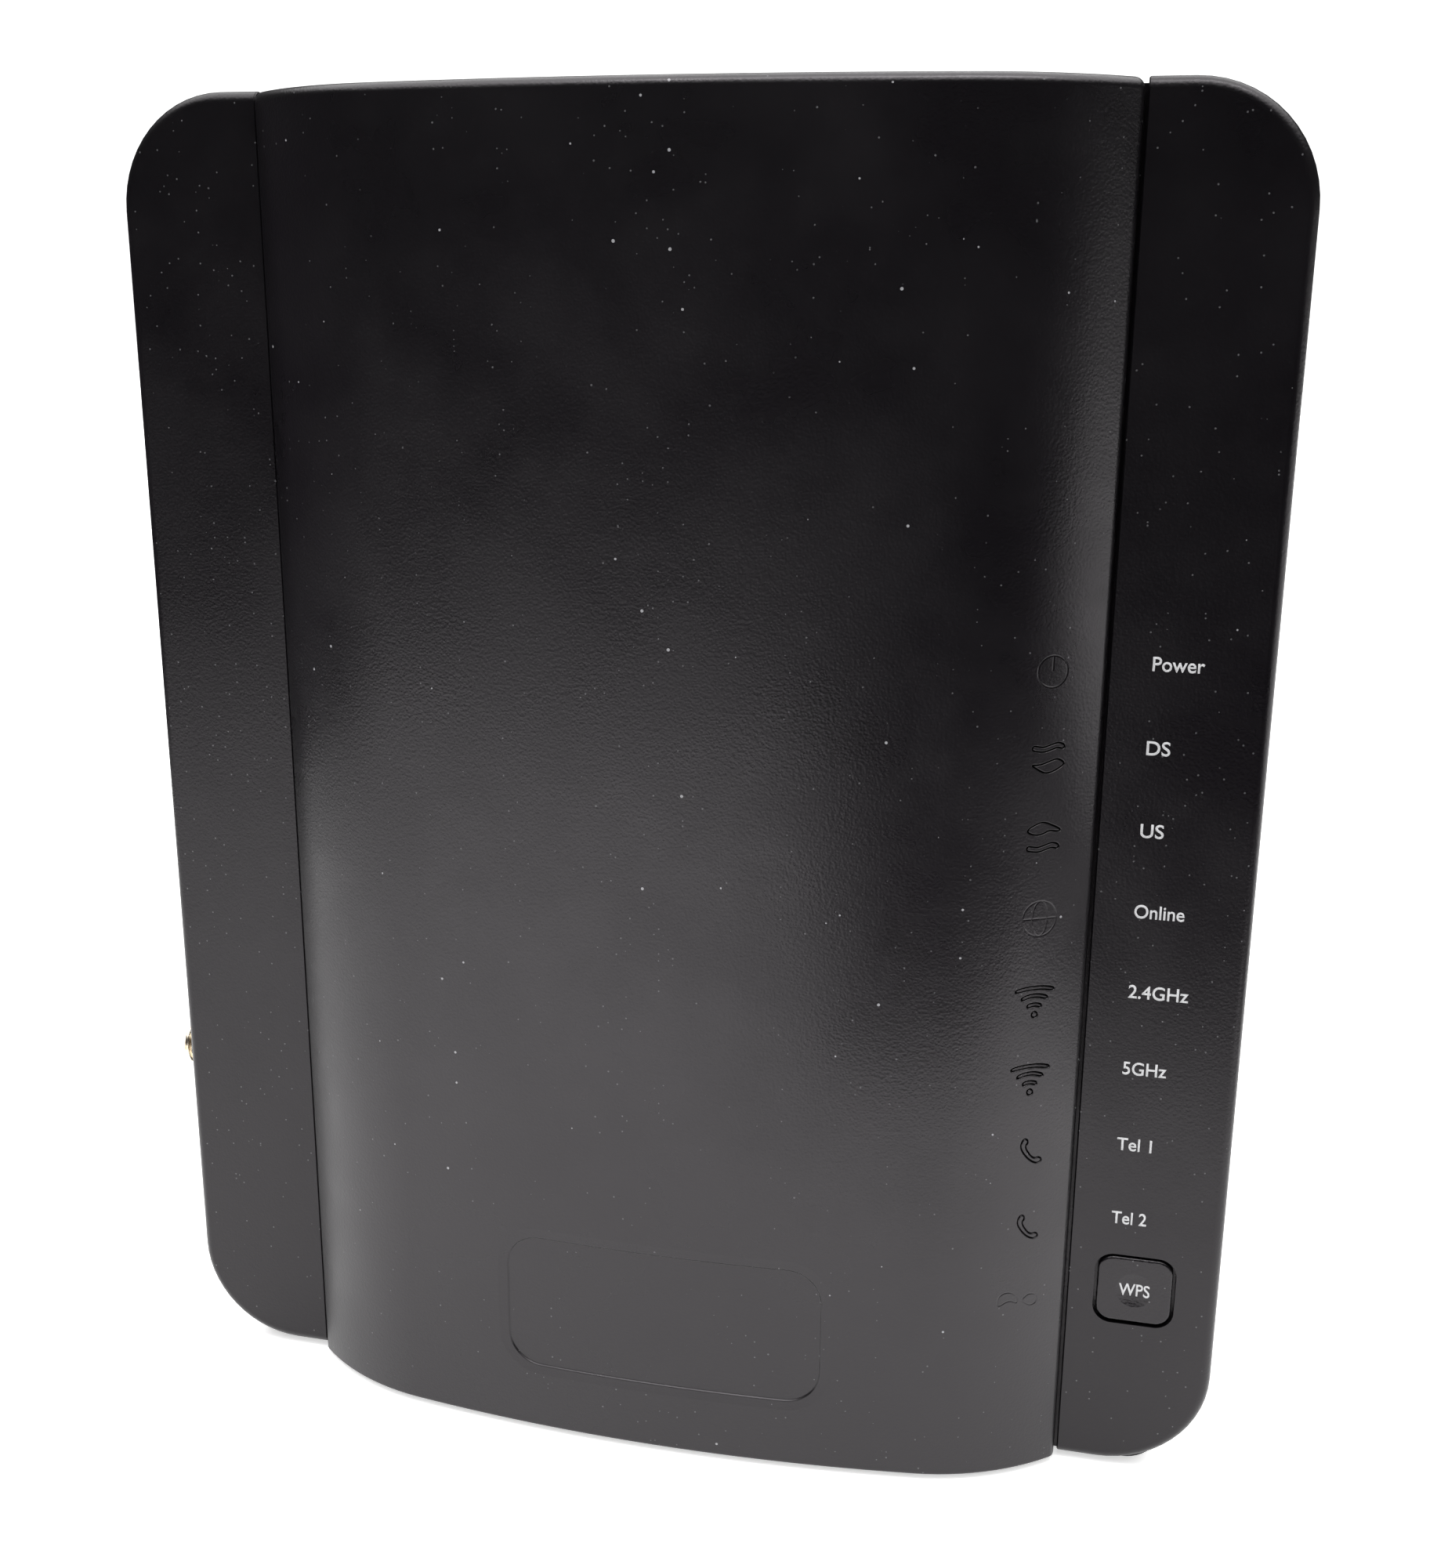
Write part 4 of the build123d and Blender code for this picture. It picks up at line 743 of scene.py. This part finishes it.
for u in u_lines:
    for z in z_lines:
        inside_icon = u_patch[0] < u < u_patch[1]
        inside_plate = (
            abs(u - PLATE_U) < PLATE_HALF[0] + MARGIN - NEAR
            and abs(z - PLATE_Z) < PLATE_HALF[1] + MARGIN - NEAR
        )
        if not inside_plate and not (
            inside_icon and any(abs(z - row) < PATCH - NEAR for row in ICON_ROWS)
        ):
            skin.vertex(u, z)

count = len(ring_dirs)
for i in range(count):
    k = (i + 1) % count
    skin.face(edge_ring[i], edge_ring[k], rings[0][k], rings[0][i])
    for outer, inner in zip(rings, rings[1:]):
        skin.quad(outer[i], outer[k], inner[k], inner[i])
floor_ring = rings[-1]
columns = {}
for u, z in floor_ring:
    columns.setdefault(round(u, 4), []).append(z)
ordered = sorted(columns)
for a, b in zip(ordered, ordered[1:]):
    low_a, low_b, high_a, high_b = (f(columns[u]) for f in (min, max) for u in (a, b))
    skin.quad((a, low_a), (b, low_b), (b, high_b), (a, high_a))

for a, b in zip(u_lines, u_lines[1:]):
    for c, d in zip(z_lines, z_lines[1:]):
        u, z = (a + b) / 2, (c + d) / 2
        if abs(u - PLATE_U) < PLATE_HALF[0] + MARGIN and abs(z - PLATE_Z) < PLATE_HALF[1] + MARGIN:
            continue
        if u_patch[0] < u < u_patch[1] and any(abs(z - row) < PATCH for row in ICON_ROWS):
            continue
        skin.face((a, c), (b, c), (b, d), (a, d))


def rim(u, t, radius, top):
    """A point on the rounded upper or lower edge, and its normal, at angle t from the front."""
    (x, y), (nx, ny) = section(u)
    inset = radius * (1 - math.cos(t))
    rise = radius * math.sin(t)
    z = HIGH_Z - radius + rise if top else LOW_Z + radius - rise
    up = math.sin(t) if top else -math.sin(t)
    out = math.cos(t)
    return (x - nx * inset, y - ny * inset, z), Vector((nx * out, ny * out, up))


def add_rim(radius, top, steps):
    """Rounds one edge of the panel and gives its last row of vertices."""
    z0 = z_lines[-1] if top else z_lines[0]
    us = sorted(skin.on_z[round(z0, 4)])
    row = [skin.index[(u, round(z0, 4))] for u in us]
    for i in range(1, steps + 1):
        new = [skin.raw(*rim(u, math.pi / 2 * i / steps, radius, top)) for u in us]
        for k in range(len(us) - 1):
            ring = [row[k], row[k + 1], new[k + 1], new[k]]
            skin.faces.append(ring if top else ring[::-1])
        row = new
    return us, row


top_row = add_rim(TOP_R, True, TOP_STEPS)[1]
low_us, low_row = add_rim(LOW_R, False, LOW_STEPS)
UP, DOWN = Vector((0, 0, 1)), Vector((0, 0, -1))


def lifted(rows, normal):
    """Copies of vertices with another normal, for a sharp edge."""
    return [skin.raw(skin.points[i], normal) for i in rows]


def inner_row(us, z, faces_in):
    """A row of the panel's inner face at z, facing inwards or, for the lower edge, down."""
    row = []
    for u in us:
        (x, y), (nx, ny) = section(u)
        x, y = x - nx * WALL, min(y - ny * WALL, BACK_Y)
        row.append(skin.raw((x, y, z), Vector((-nx, -ny, 0)) if faces_in else DOWN))
    return row


skin.faces.append(lifted(top_row, UP))
foot = lifted(low_row, DOWN)
inner_low = inner_row(low_us, LOW_Z, False)
for k in range(len(low_us) - 1):
    skin.faces.append([foot[k + 1], foot[k], inner_low[k], inner_low[k + 1]])
wall_low = inner_row(low_us, LOW_Z, True)
wall_high = inner_row(low_us, HIGH_Z - WALL, True)
for k in range(len(low_us) - 1):
    skin.faces.append([wall_low[k], wall_high[k], wall_high[k + 1], wall_low[k + 1]][::-1])
skin.faces.append([skin.raw(skin.points[i], DOWN) for i in wall_high][::-1])

mesh = bpy.data.meshes.new("panel_skin")
co = np.array(skin.points) * MM + np.array((CENTRE_X, WING_Y, 0.0))
mesh.from_pydata([tuple(p) for p in co], [], skin.faces)
mesh.update()
# The cut attribute carries the groove depth share that the panel's material paints as shade
attribute = mesh.attributes.new("cut", "FLOAT", "POINT")
attribute.data.foreach_set("value", np.array(skin.cuts, np.float32))
for polygon in mesh.polygons:
    polygon.use_smooth = True
mesh.normals_split_custom_set_from_vertices([tuple(n) for n in skin.normals])
panel = link(bpy.data.objects.new("panel_skin", mesh))
mesh.materials.append(PANEL_PLASTIC)
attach(panel, "casing")
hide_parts("centre_panel")

# ------------------------------------------------------------------ printed labels

LABELS = [  # name, words, height of the capitals' middle, width
    ("label_power", "Power", 156.36, 8.55),
    ("label_down", "DS", 141.75, 3.98),
    ("label_up", "US", 127.04, 3.98),
    ("label_online", "Online", 112.33, 8.55),
    ("label_band_a", "2.4GHz", 97.32, 10.34),
    ("label_band_b", "5GHz", 82.61, 7.65),
    ("label_tel_a", "Tel 1", 67.70, 6.16),
    ("label_tel_b", "Tel 2", 52.89, 6.26),
]
LABEL_LEFT = 82.88
CAP = 2.39
BUTTON_WORD = 5.6
STROKE_GROWTH = 0.012  # in letter heights, for a bolder stroke
INK = 0.02
INK_LIFT = 0.03
RAY_START_Y = -0.1


def ground(node):
    """A search tree over a CAD node's surface."""
    mesh = NODES[node].data
    return BVHTree.FromPolygons([v.co for v in mesh.vertices], [p.vertices for p in mesh.polygons])


def printed(name, words, left, middle_z, width, node, body):
    """White lettering on the front of a CAD node, width wide, its capitals about middle_z."""
    curve = bpy.data.curves.new(name, "FONT")
    curve.body = words
    curve.size = 1.0
    curve.offset = STROKE_GROWTH
    curve.resolution_u = 6
    holder = link(bpy.data.objects.new(name + "_curve", curve))
    bpy.context.view_layer.update()
    graph = bpy.context.evaluated_depsgraph_get()
    flat = bpy.data.meshes.new_from_object(holder.evaluated_get(graph))
    bpy.data.objects.remove(holder)
    bpy.data.curves.remove(curve)
    xs = [v.co.x for v in flat.vertices]
    tree = ground(node)
    scale = width * MM / (max(xs) - min(xs))
    tall = CAP * MM / CAPITAL
    for v in flat.vertices:
        x = left + (v.co.x - min(xs)) * scale
        z = middle_z + (v.co.y - CAPITAL / 2) * tall
        hit = tree.ray_cast(Vector((x, RAY_START_Y, z)), Vector((0, 1, 0)))[0]
        v.co = (x, hit.y - INK_LIFT * MM, z)
    flat.name = name
    flat.materials.clear()
    flat.materials.append(PRINT)
    obj = link(bpy.data.objects.new(name, flat))
    solid = obj.modifiers.new("ink", "SOLIDIFY")
    solid.thickness = INK * MM
    solid.offset = -1.0
    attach(obj, body)
    return obj


def capital_height():
    """How tall a capital is, in the unit of the letters' size."""
    curve = bpy.data.curves.new("gauge", "FONT")
    curve.body = "H"
    curve.size = 1.0
    holder = link(bpy.data.objects.new("gauge", curve))
    bpy.context.view_layer.update()
    high = holder.dimensions.y
    bpy.data.objects.remove(holder)
    bpy.data.curves.remove(curve)
    return high


CAPITAL = capital_height()
for name, words, z, width in LABELS:
    printed(name, words, CENTRE_X + LABEL_LEFT * MM, z * MM, width, "front_bezel", "casing")
BUTTON_LEFT = BUTTON_MID.x - BUTTON_WORD / 2 * MM
printed(
    "label_button", "WPS", BUTTON_LEFT, BUTTON_MID.z, BUTTON_WORD, "pairing_button", "pairing_button"
)

# ------------------------------------------------------------------ coaxial port

COAX_LOW, COAX_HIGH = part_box("coax_connector_body")
NUT_LOW, NUT_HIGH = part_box("coax_nut")
INS_LOW, INS_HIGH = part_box("coax_insulator")
COAX_Y = (NUT_LOW.y + NUT_HIGH.y) / 2
COAX_MID_Z = (COAX_LOW.z + COAX_HIGH.z) / 2
THREAD_R = 4.76
PITCH = 0.794
THREAD_DEPTH = 0.46
CREST_SHARE, FLANK_SHARE = 0.12, 0.76  # of half the pitch
RELIEF, SWELLING = 0.62, 0.30  # how far the unthreaded tip lies in, and how much it grows back
LEAD_START, LEAD_LENGTH = 0.55, 0.7
TAIL_END, TAIL_LENGTH, TAIL_RELIEF = 0.4, 0.6, 0.35
BORE_DEPTH, BORE_GAP, LIP = 3.0, 0.05, 0.75
SHANK = 3.4
BLOCK_BEVEL = 0.4


def clipped(value):
    return min(1.0, max(0.0, value))


def threaded_barrel():
    """A barrel with a real helical thread, a smooth lead-in, a bored tip and a plain shank."""
    segments, per_pitch = 72, 10
    length = (NUT_LOW.x - COAX_LOW.x) / MM
    bore = (INS_HIGH.z - INS_LOW.z) / 2 / MM + BORE_GAP
    bm = bmesh.new()
    rows = []
    steps = int(length / PITCH * per_pitch)
    for t, radius in ((BORE_DEPTH, bore), (0.0, bore), (0.0, THREAD_R - LIP)):
        rows.append([(COAX_LOW.x / MM + t, radius)] * segments)
    for i in range(steps + 1):
        t = length * i / steps
        row = []
        for s in range(segments):
            phase = (t / PITCH - s / segments) % 1.0
            ridge = abs(2 * phase - 1)
            radius = THREAD_R - THREAD_DEPTH * (1 - clipped((ridge - CREST_SHARE) / FLANK_SHARE))
            lead = clipped((t - LEAD_START) / LEAD_LENGTH)
            plain = THREAD_R - RELIEF + SWELLING * min(1.0, t / SWELLING)
            tail = clipped((length - TAIL_END - t) / TAIL_LENGTH)
            radius = plain + (radius - plain) * lead
            radius = radius * tail + (THREAD_R - TAIL_RELIEF) * (1 - tail)
            row.append((COAX_LOW.x / MM + t, radius))
        rows.append(row)
    last_x = COAX_LOW.x / MM + length + SHANK
    rows.append([(last_x, THREAD_R - TAIL_RELIEF)] * segments)
    made = []
    for row in rows:
        ring = []
        for s, (x, radius) in enumerate(row):
            angle = 2 * math.pi * s / segments
            y = COAX_Y + radius * MM * math.cos(angle)
            z = COAX_MID_Z + radius * MM * math.sin(angle)
            ring.append(bm.verts.new((x * MM, y, z)))
        made.append(ring)
    for a, b in zip(made, made[1:]):
        for s in range(segments):
            k = (s + 1) % segments
            bm.faces.new((a[s], b[s], b[k], a[k]))
    bm.faces.new(list(reversed(made[0])))
    bm.faces.new(made[-1])
    block = bmesh.ops.create_cube(bm, size=1.0)["verts"]
    low = Vector((last_x * MM, COAX_LOW.y, COAX_LOW.z))
    size = COAX_HIGH - low
    bmesh.ops.scale(bm, vec=size, verts=block)
    bmesh.ops.translate(bm, vec=(low + COAX_HIGH) / 2, verts=block)
    edges = list({e for v in block for e in v.link_edges})
    bmesh.ops.bevel(bm, geom=edges, offset=BLOCK_BEVEL * MM, segments=2, affect="EDGES", profile=0.5)
    bmesh.ops.recalc_face_normals(bm, faces=bm.faces)
    mesh = bpy.data.meshes.new("threaded_port")
    bm.to_mesh(mesh)
    bm.free()
    for polygon in mesh.polygons:
        polygon.use_smooth = True
    mesh.set_sharp_from_angle(angle=math.radians(32))
    mesh.materials.append(NICKEL)
    return link(bpy.data.objects.new("threaded_port", mesh))


port = threaded_barrel()
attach(port, "casing")
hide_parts("coax_connector_body")

# ------------------------------------------------------------------ studio

floor_mesh = bpy.data.meshes.new("studio_floor")
FLOOR_REACH = 4.0
floor_corners = [
    (x * FLOOR_REACH, y * FLOOR_REACH, FLOOR_Z) for x, y in ((-1, -1), (1, -1), (1, 1), (-1, 1))
]
floor_mesh.from_pydata(floor_corners, [], [(0, 1, 2, 3)])
studio_floor = link(bpy.data.objects.new("studio_floor", floor_mesh))
floor_mat, floor_nodes, _ = material("studio_floor")
floor_shader = floor_nodes["Principled BSDF"].inputs
floor_shader["Base Color"].default_value = (0.86, 0.86, 0.855, 1)
floor_shader["Roughness"].default_value = 0.6
floor_shader["Emission Color"].default_value = (1.0, 1.0, 1.0, 1)
floor_shader["Emission Strength"].default_value = 0.60
floor_mesh.materials.append(floor_mat)

# Dark cards that the camera does not see: they shape the reflections on the face. The two lying on the
# floor are painted shade, dark sheets standing in for a shadow on the floor in front, seen only in the
# face's reflections
card_mat, card_nodes, _ = material("dark_card")
card_nodes["Principled BSDF"].inputs["Base Color"].default_value = (0.03, 0.022, 0.032, 1)
card_nodes["Principled BSDF"].inputs["Roughness"].default_value = 0.9
FRONT_Y, LEFT_X, RIGHT_X, LEFT_BACK_Y = -0.66, -0.52, 1.30, 0.35
CARD_HIGH, CARD_LIFT = 0.30, 0.001


def upright(a, b):
    return [(*a, 0.0), (*b, 0.0), (*b, CARD_HIGH), (*a, CARD_HIGH)]


def lying(low_x, high_x, low_y, high_y):
    z = CARD_LIFT
    return [(low_x, low_y, z), (high_x, low_y, z), (high_x, high_y, z), (low_x, high_y, z)]


CARDS = {
    "front_card": upright((LEFT_X, FRONT_Y), (RIGHT_X, FRONT_Y)),
    "left_card": upright((LEFT_X, LEFT_BACK_Y), (LEFT_X, FRONT_Y)),
    # Painted shade: dark sheets on the floor standing in for a shadow in front of the object
    "right_card": lying(0.30, 0.55, -0.21, 0.02),
    "low_card": lying(0.03, 0.75, FRONT_Y, -0.21),
}
for name, corners in CARDS.items():
    card_mesh = bpy.data.meshes.new(name)
    card_mesh.from_pydata(corners, [], [(0, 1, 2, 3)])
    card_mesh.materials.append(card_mat)
    card = link(bpy.data.objects.new(name, card_mesh))
    card.visible_camera = False

# A dark horizon under a bright dome lights the object; the camera sees plain white
DOME_START, DOME_FULL = 0.50, 0.80  # sines of the elevation
DOME_LOW, DOME_HIGH, SEEN = 0.06, 3.2, 1.3
world = bpy.data.worlds.new("studio")
SCENE.world = world
world.use_nodes = True
sky, joins = world.node_tree.nodes, world.node_tree.links
background = sky["Background"]
background.inputs["Color"].default_value = (1.0, 1.0, 1.0, 1)
heading = sky.new("ShaderNodeSeparateXYZ")
joins.new(sky.new("ShaderNodeTexCoord").outputs["Generated"], heading.inputs[0])
dome = ramp(sky, joins, heading.outputs["Z"], DOME_START, DOME_FULL, DOME_LOW, DOME_HIGH)
seen = sky.new("ShaderNodeLightPath").outputs["Is Camera Ray"]
shown = math_node(sky, joins, "MULTIPLY", seen, SEEN)
hidden = math_node(sky, joins, "SUBTRACT", 1.0, seen)
lit = math_node(sky, joins, "MULTIPLY", dome, hidden)
joins.new(math_node(sky, joins, "ADD", shown, lit), background.inputs["Strength"])

STRIP_PLACE, STRIP_TARGET = Vector((0.10, -0.45, 1.20)), Vector((0.0, 0.0, 0.2))
STRIP_SIZE, STRIP_POWER = (0.9, 0.15), 4.0
strip = bpy.data.lights.new("strip_light", "AREA")
strip.shape = "RECTANGLE"
strip.size, strip.size_y = STRIP_SIZE
strip.energy = STRIP_POWER
strip_light = link(bpy.data.objects.new("strip_light", strip))
strip_light.location = STRIP_PLACE
strip_light.rotation_mode = "QUATERNION"
strip_light.rotation_quaternion = (STRIP_TARGET - STRIP_PLACE).to_track_quat("-Z", "Y")

YAW, PITCH_DOWN, ROLL = math.radians(13.113), math.radians(15.594), math.radians(0.4929)
CAMERA_PLACE = (0.08322, -0.31260, 0.21640)
CAMERA_LENS, CAMERA_SENSOR = 40.69, 36.0
ahead_share = math.cos(PITCH_DOWN)
forward = Vector(
    (-math.sin(YAW) * ahead_share, math.cos(YAW) * ahead_share, -math.sin(PITCH_DOWN))
)
level = Vector((math.cos(YAW), math.sin(YAW), 0))
above = level.cross(forward)
right = level * math.cos(ROLL) + above * math.sin(ROLL)
up = above * math.cos(ROLL) - level * math.sin(ROLL)
camera_data = bpy.data.cameras.new("camera")
camera_data.lens = CAMERA_LENS
camera_data.sensor_width = CAMERA_SENSOR
camera = link(bpy.data.objects.new("camera", camera_data))
camera.matrix_world = Matrix(
    (
        (right.x, up.x, -forward.x, CAMERA_PLACE[0]),
        (right.y, up.y, -forward.y, CAMERA_PLACE[1]),
        (right.z, up.z, -forward.z, CAMERA_PLACE[2]),
        (0, 0, 0, 1),
    )
)
SCENE.camera = camera
SCENE.view_settings.view_transform = "Standard"
